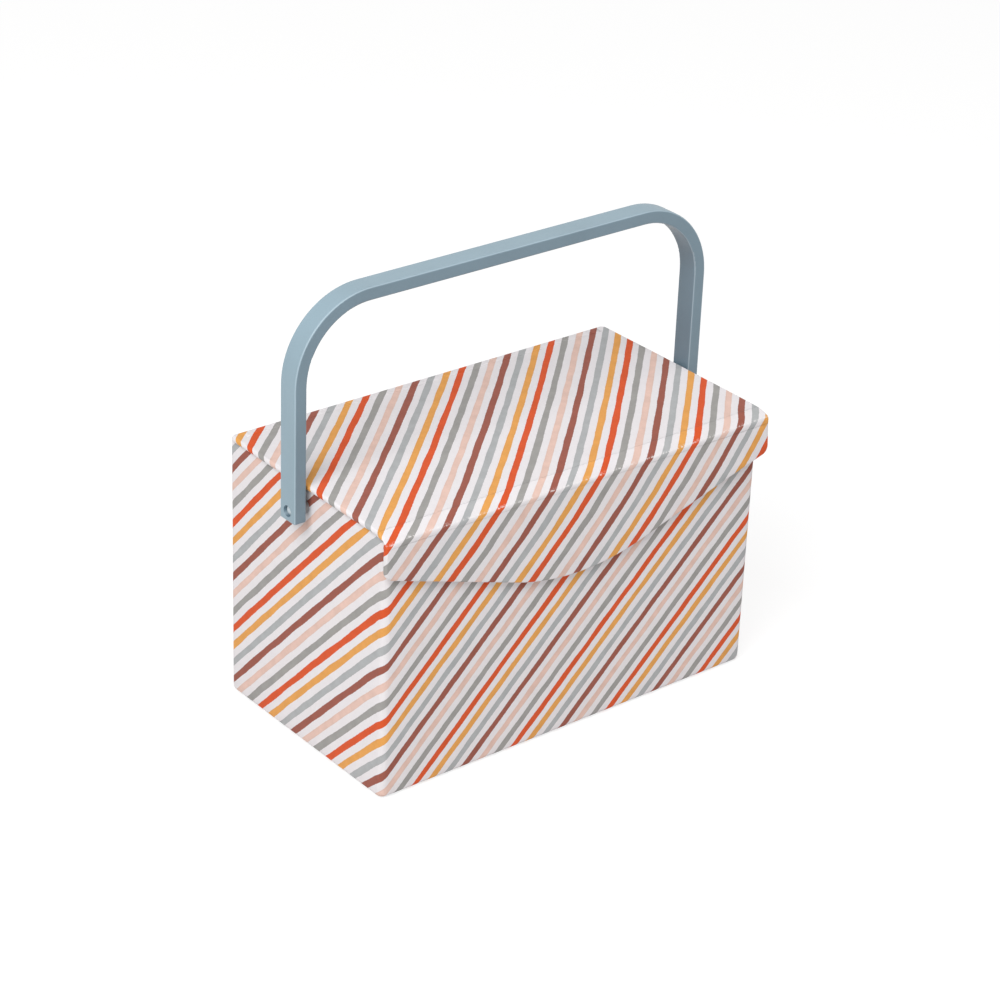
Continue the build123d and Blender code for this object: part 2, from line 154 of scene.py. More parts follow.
@dataclass(frozen=True)
class PrintedCotton:
    """Cotton, plain woven and pigment printed with slanting brushed stripes, pasted over board.

    To the eye it is matt and even, with stripes that waver like strokes of a brush, a faint
    unevenness of the pigment and a fine weave that only softens the light.

    Attributes:
        name: The material's name.
        repeat_mm: Width of one repeat, across the stripes.
        stripe_share: Width of a stripe as a share of the way from stripe to stripe.
        waver: How far a stroke wavers, as a share of that way.
        waver_mm: Length over which it wavers.
        swell: How much its half width swells, as a share of that way.
        swell_mm: Length over which it swells.
        rags: How far its edge is ragged, as a share of that way.
        rags_per_mm: Fineness of the ragged edge.
        blots_per_mm: Fineness of the pigment's blots.
        slubs_per_mm: Fineness of the weave.
        drawn_per_mm: Fineness of a slub along its thread.
        chips_per_mm: Fineness of the cracks at a crease.
        ground: Colour of the bare cloth.
        worn: Colour where the pigment is gone.
        colours: The stripes' colours in turn.
    """

    name: str = "printed_cotton"
    repeat_mm: float = 54.7
    stripe_share: float = 0.477
    waver: float = 0.12
    waver_mm: float = 20.0
    swell: float = 0.12
    swell_mm: float = 30.0
    rags: float = 0.06
    rags_per_mm: float = 0.45
    blots_per_mm: float = 0.12
    slubs_per_mm: float = 1.4
    drawn_per_mm: float = 0.16
    chips_per_mm: float = 0.55
    ground: str = "#E7E3E5"
    worn: str = "#F3F0EF"
    colours: tuple[str, ...] = ("#E3C2B5", "#9F9D9A", "#D85629", "#E4A255", "#AFB1B2", "#9A594B")

    def build(self) -> bpy.types.Material:
        """Builds the material.

        Returns:
            The finished material, which reads the piece's UV map named cloth.
        """
        material, add = new_material(self.name)
        cloth = add("UVMap", uv_map="cloth")
        in_mm = add("VectorMath", [cloth, (self.repeat_mm,) * 3], operation="MULTIPLY")
        stripe, outside = self.strokes(add, cloth, in_mm)
        colour = self.pigment(add, stripe, outside, in_mm)

        # Threads of 0.35 mm would be finer than a pixel, so slubs of 0.7 mm stand for them
        turned = add("VectorRotate", {"Vector": in_mm, "Angle": math.radians(45)}, rotation_type="Z_AXIS")
        fine, drawn = self.slubs_per_mm, self.drawn_per_mm
        threads = []
        for stretch in ((fine, drawn, 1.0), (drawn, fine, 1.0)):
            at = add("VectorMath", [turned, stretch], operation="MULTIPLY")
            threads.append(add("TexNoise", {"Vector": at, "Scale": 1.0, "Detail": 1.0}))
        weave = add("Math", threads, operation="ADD")
        spread = (0.6, 1.4)
        shade = add("MapRange", [weave, *spread, 0.975, 1.02])
        colour = add("VectorMath", {0: colour, "Scale": shade}, operation="SCALE")

        # Where the cloth is creased, the pigment has cracked away in short lines
        wear = add("Attribute", attribute_name="wear").outputs["Fac"]
        flaking = {"Vector": in_mm, "Scale": self.chips_per_mm, "Detail": 3.0, "Roughness": 0.7}
        chips = add("MapRange", [add("TexNoise", flaking), 0.46, 0.60])
        chips = add("Math", [chips, wear], operation="MULTIPLY")
        colour = add("Mix", {0: chips, 6: colour, 7: linear(self.worn)}, data_type="RGBA").outputs[2]
        looks = {
            "Base Color": colour,
            "Roughness": add("MapRange", [weave, *spread, 0.90, 0.80]),
            "Normal": add("Bump", {"Height": weave, "Strength": 0.35, "Distance": 0.00012}),
            "Specular IOR Level": 0.25,
            "Sheen Weight": 0.06,
            "Sheen Roughness": 0.5,
        }
        add("OutputMaterial", [add("BsdfPrincipled", looks)])
        return material

    def strokes(self, add: AddNode, cloth: Node, in_mm: Node) -> tuple[Node, Node]:
        """Each stroke of the brush, which wavers and swells by a few tenths of a millimetre.

        Args:
            add: Puts nodes in the material's tree.
            cloth: The print's coordinates, in repeats.
            in_mm: The same in millimetres.

        Returns:
            The stripe's number, and how far outside its edge a place lies, in stripe pitches.
        """
        across, along = add("SeparateXYZ", [cloth]).outputs[:2]
        pitches = add("Math", [across, float(len(self.colours))], operation="MULTIPLY")
        stripe = add("Math", [pitches], operation="ROUND")
        offset = add("Math", [pitches, stripe], operation="SUBTRACT")

        # Each stripe reads the noise in a place of its own
        stroke = add("Math", [stripe, 5.3], operation="MULTIPLY")
        uneven = []
        for length, level, detail in ((self.waver_mm, 3.0, 1.5), (self.swell_mm, 9.0, 1.0)):
            run = add("Math", [along, self.repeat_mm / length], operation="MULTIPLY")
            at = add("CombineXYZ", [stroke, run, level])
            uneven.append(add("TexNoise", {"Vector": at, "Scale": 1.0, "Detail": detail}))
        waver = add("Math", [uneven[0], 0.5], operation="SUBTRACT")
        offset = add("Math", [waver, self.waver, offset], operation="MULTIPLY_ADD")
        least = (self.stripe_share - self.swell) / 2
        half = add("Math", [uneven[1], self.swell, least], operation="MULTIPLY_ADD")
        ragged = add("TexNoise", {"Vector": in_mm, "Scale": self.rags_per_mm, "Detail": 2.0})
        half = add("Math", [ragged, self.rags, half], operation="MULTIPLY_ADD")
        half = add("Math", [half, self.rags / 2], operation="SUBTRACT")
        distance = add("Math", [offset], operation="ABSOLUTE")
        return stripe, add("Math", [distance, half], operation="SUBTRACT")

    def pigment(self, add: AddNode, stripe: Node, outside: Node, in_mm: Node) -> bpy.types.NodeSocket:
        """Colour of stripes and ground; the pigment is thicker in blots and along each stroke's edge.

        Args:
            add: Puts nodes in the material's tree.
            stripe: The stripe's number.
            outside: How far outside the stroke's edge a place lies.
            in_mm: The print's coordinates in millimetres.

        Returns:
            The colour.
        """
        count = len(self.colours)
        turn = add("Math", [stripe, float(count)], operation="FLOORED_MODULO")
        turn = add("Math", [turn, 1 / count, 1 / count / 2], operation="MULTIPLY_ADD")
        palette = add("ValToRGB", [turn])
        set_ramp(palette, [(i / count, linear(c)) for i, c in enumerate(self.colours)], "CONSTANT")
        blot = add("TexNoise", {"Vector": in_mm, "Scale": self.blots_per_mm, "Detail": 3.0})
        thickness = add("MapRange", [blot, *NOISE, 0.93, 1.06])
        rim = add("MapRange", [outside, -0.11, -0.02, 1.0, 0.955])
        thickness = add("Math", [thickness, rim], operation="MULTIPLY")
        ink = add("VectorMath", {0: palette, "Scale": thickness}, operation="SCALE")
        tint = add("MapRange", [blot, *NOISE, 0.985, 1.01])
        bare = add("VectorMath", {0: linear(self.ground)[:3], "Scale": tint}, operation="SCALE")
        inked = add("MapRange", [outside, -0.014, 0.020, 1.0, 0.0], interpolation_type="SMOOTHSTEP")
        return add("Mix", {0: inked, 6: bare, 7: ink}, data_type="RGBA").outputs[2]


@dataclass(frozen=True)
class PlainWeave:
    """Plain woven cotton or fleece in one colour, with slubs, faint clouds of tone and a soft sheen."""

    name: str
    colour: str
    slub_mm: float = 0.8
    mottle: float = 0.05
    depth_mm: float = 0.10
    roughness: float = 0.88
    sheen: float = 0.10

    def build(self) -> bpy.types.Material:
        """Builds the material.

        Returns:
            The finished material, which reads the piece's Object coordinates.
        """
        material, add = new_material(self.name)
        in_mm = in_millimetres(add)

        # Threads run along all three ways, so that a turned edge is woven too
        fine, drawn = 1 / self.slub_mm, 1 / self.slub_mm / 8
        threads = []
        for stretch in ((fine, drawn, drawn), (drawn, fine, drawn), (drawn, drawn, fine)):
            at = add("VectorMath", [in_mm, stretch], operation="MULTIPLY")
            threads.append(add("TexNoise", {"Vector": at, "Scale": 1.0, "Detail": 1.0}))
        weave = add("Math", threads[:2], operation="ADD")
        weave = add("Math", [weave, threads[2]], operation="ADD")
        spread = (1.1, 1.9)
        cloud = add("TexNoise", {"Vector": in_mm, "Scale": 0.05, "Detail": 4.0})
        tone = add("MapRange", [cloud, *NOISE, 1 - self.mottle, 1 + self.mottle / 2])
        thread = add("MapRange", [weave, *spread, 1 - self.mottle, 1 + self.mottle])
        tone = add("Math", [tone, thread], operation="MULTIPLY")
        looks = {
            "Base Color": add("VectorMath", {0: linear(self.colour)[:3], "Scale": tone}, operation="SCALE"),
            "Roughness": add("MapRange", [weave, *spread, self.roughness + 0.05, self.roughness - 0.05]),
            "Normal": add("Bump", {"Height": weave, "Strength": 0.6, "Distance": self.depth_mm * MM}),
            "Specular IOR Level": 0.2,
            "Sheen Weight": self.sheen,
            "Sheen Roughness": 0.5,
        }
        add("OutputMaterial", [add("BsdfPrincipled", looks)])
        return material


@dataclass(frozen=True)
class PressedBoard:
    """Board pressed from wood fibre or pulp: short flecks, a fuzzy face and no gloss."""

    name: str
    colour: str
    fleck: str
    fleck_mm: float = 1.2

    def build(self) -> bpy.types.Material:
        """Builds the material.

        Returns:
            The finished material.
        """
        material, add = new_material(self.name)
        in_mm = in_millimetres(add)
        pressed = {"Vector": in_mm, "Scale": 1 / self.fleck_mm, "Detail": 6.0, "Roughness": 0.7}
        fibre = add("TexNoise", pressed)
        flecked = {0: add("MapRange", [fibre, 0.42, 0.62]), 6: linear(self.colour), 7: linear(self.fleck)}
        colour = add("Mix", flecked, data_type="RGBA").outputs[2]
        cloud = add("TexNoise", {"Vector": in_mm, "Scale": 0.04, "Detail": 3.0})
        tone = add("MapRange", [cloud, *NOISE, 0.92, 1.05])
        looks = {
            "Base Color": add("VectorMath", {0: colour, "Scale": tone}, operation="SCALE"),
            "Roughness": add("MapRange", [fibre, 0.0, 1.0, 0.95, 0.82]),
            "Normal": add("Bump", {"Height": fibre, "Strength": 0.5, "Distance": 0.0001}),
        }
        add("OutputMaterial", [add("BsdfPrincipled", looks)])
        return material


@dataclass(frozen=True)
class SprayedPaint:
    """Satin paint sprayed over sanded beech or a steel screw.

    It gives an even colour with a soft shine and a faint orange peel. On the handle the colour holds painted
    shade, darker on its sides and inner face than on its outer face, and a painted highlight on its long
    edges.

    Attributes:
        name: The material's name.
        colour: Colour of the paint, and on the handle that of its outer face, the lightest of its painted
            shades.
        painted_side_shade: Colour of the handle's sides, painted darker as shade; without it the paint is
            even.
        painted_inner_shade: Colour of the handle's inner face, painted darkest as shade.
        painted_edge_highlight: Colour of the handle's long edges, painted lighter as a highlight.
        bend_centre: Point in metres that the handle's faces are turned to or from.
        bend_reach: Half the handle's width, and its height over that point, in metres.
        roughness: How soft the shine is.
        peel_depth_mm: Depth of the orange peel.
    """

    name: str
    colour: str
    painted_side_shade: str = ""
    painted_inner_shade: str = ""
    painted_edge_highlight: str = ""
    bend_centre: Point3 = (0.0, 0.0, 0.24)
    bend_reach: Point2 = (0.158, 0.067)
    roughness: float = 0.42
    peel_depth_mm: float = 0.02

    def build(self) -> bpy.types.Material:
        """Builds the material.

        Returns:
            The finished material.
        """
        material, add = new_material(self.name)
        in_mm = in_millimetres(add)
        peel = add("TexNoise", {"Vector": in_mm, "Scale": 0.8, "Detail": 2.0})
        cloud = add("TexNoise", {"Vector": in_mm, "Scale": 0.03, "Detail": 3.0})
        tone = add("MapRange", [cloud, *NOISE, 0.965, 1.03])
        # On the handle the colour carries painted shade by face and a painted highlight on its edges
        paint_and_painted_shade = self.painted_face_shading(add) if self.painted_side_shade else linear(self.colour)[:3]
        looks = {
            "Base Color": add("VectorMath", {0: paint_and_painted_shade, "Scale": tone}, operation="SCALE"),
            "Roughness": add("MapRange", [peel, *NOISE, self.roughness - 0.05, self.roughness + 0.06]),
            "Normal": add("Bump", {"Height": peel, "Strength": 0.25, "Distance": self.peel_depth_mm * MM}),
        }
        add("OutputMaterial", [add("BsdfPrincipled", looks)])
        return material

    def painted_face_shading(self, add: AddNode) -> bpy.types.NodeSocket:
        """The paint's colour on the outer face, with painted shade on the sides and inner face and a painted
        highlight on the edges of the bent bar.

        Args:
            add: Puts nodes in the material's tree.

        Returns:
            The colour.
        """
        facing = add("TexCoord").outputs
        wide, high = self.bend_reach
        reach = add("VectorMath", [facing["Object"], self.bend_centre], operation="SUBTRACT")
        reach = add("VectorMath", [reach, (1 / wide, 0.0, 1 / high)], operation="MULTIPLY")
        outward = add("VectorMath", [reach, facing["Normal"]], operation="DOT_PRODUCT").outputs["Value"]
        # Painted shade: the colour darkens from the outer face over the sides to the inner face
        painted_face_shading = add("ValToRGB", [add("MapRange", [outward, -1.0, 1.0])])
        inner, side, outer = linear(self.painted_inner_shade), linear(self.painted_side_shade), linear(self.colour)
        set_ramp(painted_face_shading, [(0.15, inner), (0.35, side), (0.65, side), (0.85, outer)], "LINEAR")

        # A face that looks half sideways, half outwards belongs to a rounded edge, which gets a painted
        # highlight
        sideways = add("SeparateXYZ", [facing["Normal"]]).outputs["Y"]
        squared = add("Math", [sideways, sideways], operation="MULTIPLY")
        rest = add("Math", [1.0, squared], operation="SUBTRACT")
        between = add("Math", [squared, rest], operation="MULTIPLY")
        edge = add("MapRange", [between, 0.10, 0.25, 0.0, 0.6])
        return add("Mix", {0: edge, 6: painted_face_shading, 7: linear(self.painted_edge_highlight)}, data_type="RGBA").outputs[2]


@dataclass(frozen=True)
class MouldedPlastic:
    """Polypropylene, injection moulded in a spark-eroded tool: satin, with a very fine grain."""

    name: str
    colour: str
    roughness: float = 0.45

    def build(self) -> bpy.types.Material:
        """Builds the material.

        Returns:
            The finished material.
        """
        material, add = new_material(self.name)
        in_mm = in_millimetres(add)
        grain = add("TexNoise", {"Vector": in_mm, "Scale": 1.6, "Detail": 2.0})
        flow = add("TexNoise", {"Vector": in_mm, "Scale": 0.02, "Detail": 2.0})
        tone = add("MapRange", [flow, *NOISE, 0.97, 1.02])
        looks = {
            "Base Color": add("VectorMath", {0: linear(self.colour)[:3], "Scale": tone}, operation="SCALE"),
            "Roughness": add("MapRange", [grain, *NOISE, self.roughness - 0.05, self.roughness + 0.07]),
            "Normal": add("Bump", {"Height": grain, "Strength": 0.2, "Distance": 0.00004}),
            "Subsurface Weight": 0.05,
            "Subsurface Radius": (0.002, 0.002, 0.002),
        }
        add("OutputMaterial", [add("BsdfPrincipled", looks)])
        return material


@dataclass(frozen=True)
class PlatedSteel:
    """Steel, turned or stamped and zinc plated: pale grey metal, a little cloudy in tone and gloss."""

    name: str = "zinc_plated_steel"
    colour: str = "#C3C6C8"

    def build(self) -> bpy.types.Material:
        """Builds the material.

        Returns:
            The finished material.
        """
        material, add = new_material(self.name)
        marks = add("TexNoise", {"Vector": in_millimetres(add), "Scale": 1.3, "Detail": 4.0})
        tone = add("MapRange", [marks, *NOISE, 0.9, 1.05])
        looks = {
            "Base Color": add("VectorMath", {0: linear(self.colour)[:3], "Scale": tone}, operation="SCALE"),
            "Metallic": 1.0,
            "Roughness": add("MapRange", [marks, 0.0, 1.0, 0.28, 0.48]),
        }
        add("OutputMaterial", [add("BsdfPrincipled", looks)])
        return material


def made(finish: PrintedCotton | PlainWeave | PressedBoard | SprayedPaint | MouldedPlastic | PlatedSteel):
    """A field that holds a finish's material, built when the field is first filled."""
    return field(default_factory=finish.build)


PRINT = PrintedCotton()


@dataclass
class Finishes:
    """All the materials of the box, each built once."""

    printed: bpy.types.Material = made(PRINT)
    lining: bpy.types.Material = made(PlainWeave("lining_cotton", "#E4DFD8"))
    cushion: bpy.types.Material = made(PlainWeave("cushion_cotton", "#DCD3C8", mottle=0.06))
    underside: bpy.types.Material = made(
        PlainWeave("felted_underside", "#D8D6D2", slub_mm=1.6, mottle=0.08, sheen=0.2)
    )
    fleece: bpy.types.Material = made(
        PlainWeave("fleece_wadding", "#F1F1EE", slub_mm=2.0, depth_mm=0.3, sheen=0.3)
    )
    elastic: bpy.types.Material = made(PlainWeave("woven_elastic", "#ECECE6", slub_mm=1.0, roughness=0.75))
    thread: bpy.types.Material = made(
        PlainWeave("sewing_thread", "#F2EFE9", slub_mm=0.3, roughness=0.7, sheen=0.2)
    )
    fibreboard: bpy.types.Material = made(PressedBoard("medium_fibreboard", "#B2956B", "#9A7C54"))
    greyboard: bpy.types.Material = made(PressedBoard("greyboard", "#A89E90", "#8D8478", 0.8))
    # The handle's paint is shaded by face: painted shade on the sides and inner face, a painted highlight on
    # the edges
    paint: bpy.types.Material = made(
        SprayedPaint("painted_beech", "#8EA5B1", "#788E9B", "#6D818E", "#AFC1CB")
    )
    screw: bpy.types.Material = made(SprayedPaint("painted_screw", "#BCC9D0", roughness=0.3))
    tray: bpy.types.Material = made(MouldedPlastic("moulded_tray", "#E6E8EA"))
    spacer: bpy.types.Material = made(MouldedPlastic("moulded_spacer", "#8F9092", 0.55))
    steel: bpy.types.Material = made(PlatedSteel())


# How the print lies


@dataclass(frozen=True)
class PrintLay:
    """How the printed stripes lie on one panel of the box.

    The stripes run in repeats of six. The place in the repeat is a gentle quadratic of the two
    panel coordinates, because cloth is never pasted down perfectly straight. Each panel's six
    values are a least-squares fit to its stripes in the photograph.
    """

    steady: float
    along_u: float
    along_v: float
    bend_uu: float
    bend_uv: float
    bend_vv: float
    turn: float = 44.5

    def repeat_at(self, u: float, v: float) -> float:
        """Place in the repeat of six stripes.

        Args:
            u: First panel coordinate in millimetres.
            v: Second panel coordinate in millimetres.

        Returns:
            Number of repeats from the panel's origin, counted across the stripes.
        """
        a, b = u / 100, v / 100
        straight = self.steady + self.along_u * a + self.along_v * b
        return straight + self.bend_uu * a * a + self.bend_uv * a * b + self.bend_vv * b * b

    def run_at(self, u: float, v: float) -> float:
        """Length along the stripes, in repeats, from the panel's origin."""
        angle = math.radians(self.turn)
        return (u * math.cos(angle) + v * math.sin(angle)) / PRINT.repeat_mm


LEFT_LAY = PrintLay(0.02053, 1.31554, -1.32260, -0.04484, 0.01239, 0.01494)
FRONT_LAY = PrintLay(-0.06334, 1.26599, -1.32200, -0.00649, -0.00724, 0.00850)
LID_LAY = PrintLay(0.70075, -1.28113, 1.34458, -0.03277, -0.00017, -0.00197)
SHOULDER_LAY = PrintLay(-0.31034, -1.27872, -1.43612, -0.02909, 0.10056, 0.46906)
FLAP_LAY = PrintLay(-2.75005, -1.16232, 1.41487, -0.03677, -0.05637, -0.08920)


# Meshes


def share_of(value: float, start: float, end: float) -> float:
    """How far a value has come on its way from start to end, held between 0 and 1."""
    return min(1.0, max(0.0, (value - start) / (end - start)))


def eased(share: float) -> float:
    """The same share from 0 to 1, but leaving and arriving gently."""
    return share * share * (3 - 2 * share)


def finish_mesh(
    name: str, mesh: bpy.types.Mesh, material: bpy.types.Material, outward_from: Point3, crease: float = 40.0
) -> bpy.types.Object:
    """Turns a mesh's faces outwards, smooths it and puts it in the scene.

    Args:
        name: Name of the piece.
        mesh: Mesh in millimetres.
        material: The piece's material.
        outward_from: A point that the faces should look away from.
        crease: Angle in degrees above which an edge stays sharp.

    Returns:
        The piece, in metres.
    """
    middle = Vector(outward_from)
    facing = sum(p.normal.dot(p.center - middle) * p.area for p in mesh.polygons)
    if facing < 0:
        mesh.flip_normals()
    mesh.transform(Matrix.Scale(MM, 4))
    mesh.shade_smooth()
    mesh.set_sharp_from_angle(angle=math.radians(crease))
    mesh.materials.append(material)
    piece = bpy.data.objects.new(name, mesh)
    bpy.context.scene.collection.objects.link(piece)
    return piece


def grid_piece(
    name: str,
    rows: Sequence[Sequence[Point3]],
    material: bpy.types.Material,
    outward_from: Point3,
    cloth: Sequence[Sequence[Point2]] | None = None,
    ring: bool = False,
    wear: Sequence[float] | None = None,
) -> bpy.types.Object:
    """Makes a sheet from rows of points.

    Args:
        name: Name of the piece.
        rows: Points in millimetres, as many in each row.
        material: The piece's material.
        outward_from: A point that the faces should look away from.
        cloth: The same rows with the print's coordinates; a ring has one more in each row.
        ring: Whether each row closes on itself.
        wear: Wear of the print for each row, from 0 to 1.

    Returns:
        The piece, in metres.
    """
    wide = len(rows[0])
    spans = wide if ring else wide - 1
    points = [point for row in rows for point in row]
    faces, marks = [], []
    for r in range(len(rows) - 1):
        for c in range(spans):
            after = (c + 1) % wide
            faces.append((r * wide + c, r * wide + after, (r + 1) * wide + after, (r + 1) * wide + c))
            marks.append(((r, c), (r, c + 1), (r + 1, c + 1), (r + 1, c)))
    mesh = bpy.data.meshes.new(name)
    mesh.from_pydata(points, [], faces)
    if cloth:
        layer = mesh.uv_layers.new(name="cloth")
        flat = [cloth[r][c] for corner in marks for r, c in corner]
        layer.data.foreach_set("uv", [value for pair in flat for value in pair])
    if wear:
        attribute = mesh.attributes.new("wear", "FLOAT", "POINT")
        attribute.data.foreach_set("value", [wear[i // wide] for i in range(len(points))])
    return finish_mesh(name, mesh, material, outward_from)


@dataclass
class EdgePoint:
    """A point of a plate's outline, with the ways in which its edges are drawn in.

    Attributes:
        place: Place on the plate in millimetres.
        side: Direction outwards across the rounded edge here.
        hinge: Direction outwards across the straight hinge edge, if the point lies on it.
    """

    place: Point2
    side: Point2
    hinge: Point2 = (0.0, 0.0)


@dataclass
class EdgeRow:
    """One row of a plate's edge: how far it is drawn in, its depth, and its run along the cloth."""

    side_inset: float
    depth: float
    run: float
    hinge_inset: float = 0.0


def rounded_edge(
    top: float, bottom: float, top_radius: float, bottom_radius: float, steps: int = 6
) -> list[EdgeRow]:
    """Rows of an edge that rolls over from a plate's face to its back.

    Args:
        top: Depth of the face.
        bottom: Depth of the back.
        top_radius: Radius at the face.
        bottom_radius: Radius at the back.
        steps: Number of faces in each round.

    Returns:
        Rows from the face to the back.
    """
    way = 1 if bottom > top else -1
    rows = []
    for step in range(steps + 1):
        angle = QUARTER * step / steps
        inset = top_radius * (1 - math.sin(angle))
        rows.append(EdgeRow(inset, top + way * top_radius * (1 - math.cos(angle)), top_radius * angle))
    straight = abs(bottom - top) - top_radius - bottom_radius
    run = rows[-1].run + straight
    for step in range(steps + 1):
        angle = QUARTER * step / steps
        inset = bottom_radius * (1 - math.cos(angle))
        depth = bottom - way * bottom_radius * (1 - math.sin(angle))
        rows.append(EdgeRow(inset, depth, run + bottom_radius * angle))
    return rows


def plate_piece(
    name: str,
    outline: Sequence[EdgePoint],
    rows: Sequence[EdgeRow],
    put_at: Callable[[float, float, float], Point3],
    material: bpy.types.Material,
    outward_from: Point3,
    lay: Callable[[float, float], Point2] | None = None,
    cell: float = 20.0,
    back: bool = False,
    swell: Callable[[float, float], float] | None = None,
) -> bpy.types.Object:
    """Makes cloth or card wrapped over a flat plate: its face, its edge and what is turned under.

    Args:
        name: Name of the piece.
        outline: The plate's outline, in order round it.
        rows: The edge, from the face to the end of the hem.
        put_at: Turns two plate coordinates and a depth into a place.
        material: The piece's material.
        outward_from: A point that the faces should look away from.
        lay: Turns unrolled cloth coordinates into the print's coordinates.
        cell: Width in millimetres of the cells that the face is cut into.
        back: Whether the last row is closed with a face too.
        swell: How far the face stands proud at a place, in millimetres.

    Returns:
        The piece, in metres.
    """
    builder = bmesh.new()
    unrolled_u = builder.verts.layers.float.new("unrolled_u")
    unrolled_v = builder.verts.layers.float.new("unrolled_v")
    rings = []
    for row in rows:
        ring = []
        rolled = row.run - rows[0].side_inset
        for point in outline:
            u = point.place[0] - point.side[0] * row.side_inset - point.hinge[0] * row.hinge_inset
            v = point.place[1] - point.side[1] * row.side_inset - point.hinge[1] * row.hinge_inset
            vert = builder.verts.new((u, v, row.depth))
            vert[unrolled_u] = point.place[0] + point.side[0] * rolled
            vert[unrolled_v] = point.place[1] + point.side[1] * rolled
            ring.append(vert)
        rings.append(ring)
    for upper, lower in zip(rings, rings[1:]):
        for i in range(len(outline)):
            after = (i + 1) % len(outline)
            builder.faces.new((upper[i], upper[after], lower[after], lower[i]))
    builder.faces.new(rings[0])
    if back:
        builder.faces.new(reversed(rings[-1]))

    # The cuts lie a hair beside round figures, where the outline may have points of its own
    beside, merged = 0.013, 0.0005
    for axis in (0, 1):
        low = min(p.place[axis] for p in outline)
        high = max(p.place[axis] for p in outline)
        normal = (1, 0, 0) if axis == 0 else (0, 1, 0)
        for i in range(1, math.ceil((high - low) / cell)):
            at = [0.0, 0.0, 0.0]
            at[axis] = low + i * cell + beside
            geometry = builder.verts[:] + builder.edges[:] + builder.faces[:]
            bmesh.ops.bisect_plane(builder, geom=geometry, plane_co=at, plane_no=normal)
    face_depth, last_depth = rows[0].depth, rows[-1].depth
    bmesh.ops.remove_doubles(builder, verts=builder.verts[:], dist=merged)
    bmesh.ops.recalc_face_normals(builder, faces=builder.faces[:])
    flats = [(v[unrolled_u], v[unrolled_v]) for v in builder.verts]
    for vert in builder.verts:
        u, v, depth = vert.co
        if swell:
            depth += swell(u, v) * (depth - last_depth) / (face_depth - last_depth)
        vert.co = put_at(u, v, depth)
    mesh = bpy.data.meshes.new(name)
    builder.to_mesh(mesh)
    builder.free()
    if lay:
        layer = mesh.uv_layers.new(name="cloth")
        values = [lay(*flats[loop.vertex_index]) for loop in mesh.loops]
        layer.data.foreach_set("uv", [value for pair in values for value in pair])
    return finish_mesh(name, mesh, material, outward_from)


def thicken(piece: bpy.types.Object, thickness: float) -> None:
    """Gives a sheet its thickness, inwards from its outer face.

    Args:
        piece: The sheet.
        thickness: Thickness in millimetres.
    """
    wall = piece.modifiers.new("thickness", "SOLIDIFY")
    wall.thickness = thickness * MM
    wall.offset = -1.0
    wall.use_even_offset = False


def rounded_rectangle(
    half_u: float, half_v: float, radius: float, middle: Point2 = (0.0, 0.0), steps: int = 6
) -> list[EdgePoint]:
    """Outline of a rectangle with round corners.

    Args:
        half_u: Half its width.
        half_v: Half its depth.
        radius: Radius of its corners.
        middle: Its centre.
        steps: Number of straight pieces in each corner.

    Returns:
        The outline's points, anticlockwise.
    """
    points = []
    for quarter, (sign_u, sign_v) in enumerate(((1, 1), (-1, 1), (-1, -1), (1, -1))):
        for step in range(steps + 1):
            angle = QUARTER * (quarter + step / steps)
            way = (math.cos(angle), math.sin(angle))
            u = middle[0] + sign_u * (half_u - radius) + radius * way[0]
            v = middle[1] + sign_v * (half_v - radius) + radius * way[1]
            points.append(EdgePoint((u, v), way))
    return points


def plate_level(u: float, v: float, depth: float) -> Point3:
    """Lays a plate level: its depth is a height."""
    return u, v, depth


def plate_upright(u: float, v: float, depth: float) -> Point3:
    """Stands a plate up facing the front: its depth is a place along Y."""
    return u, depth, v


# The box


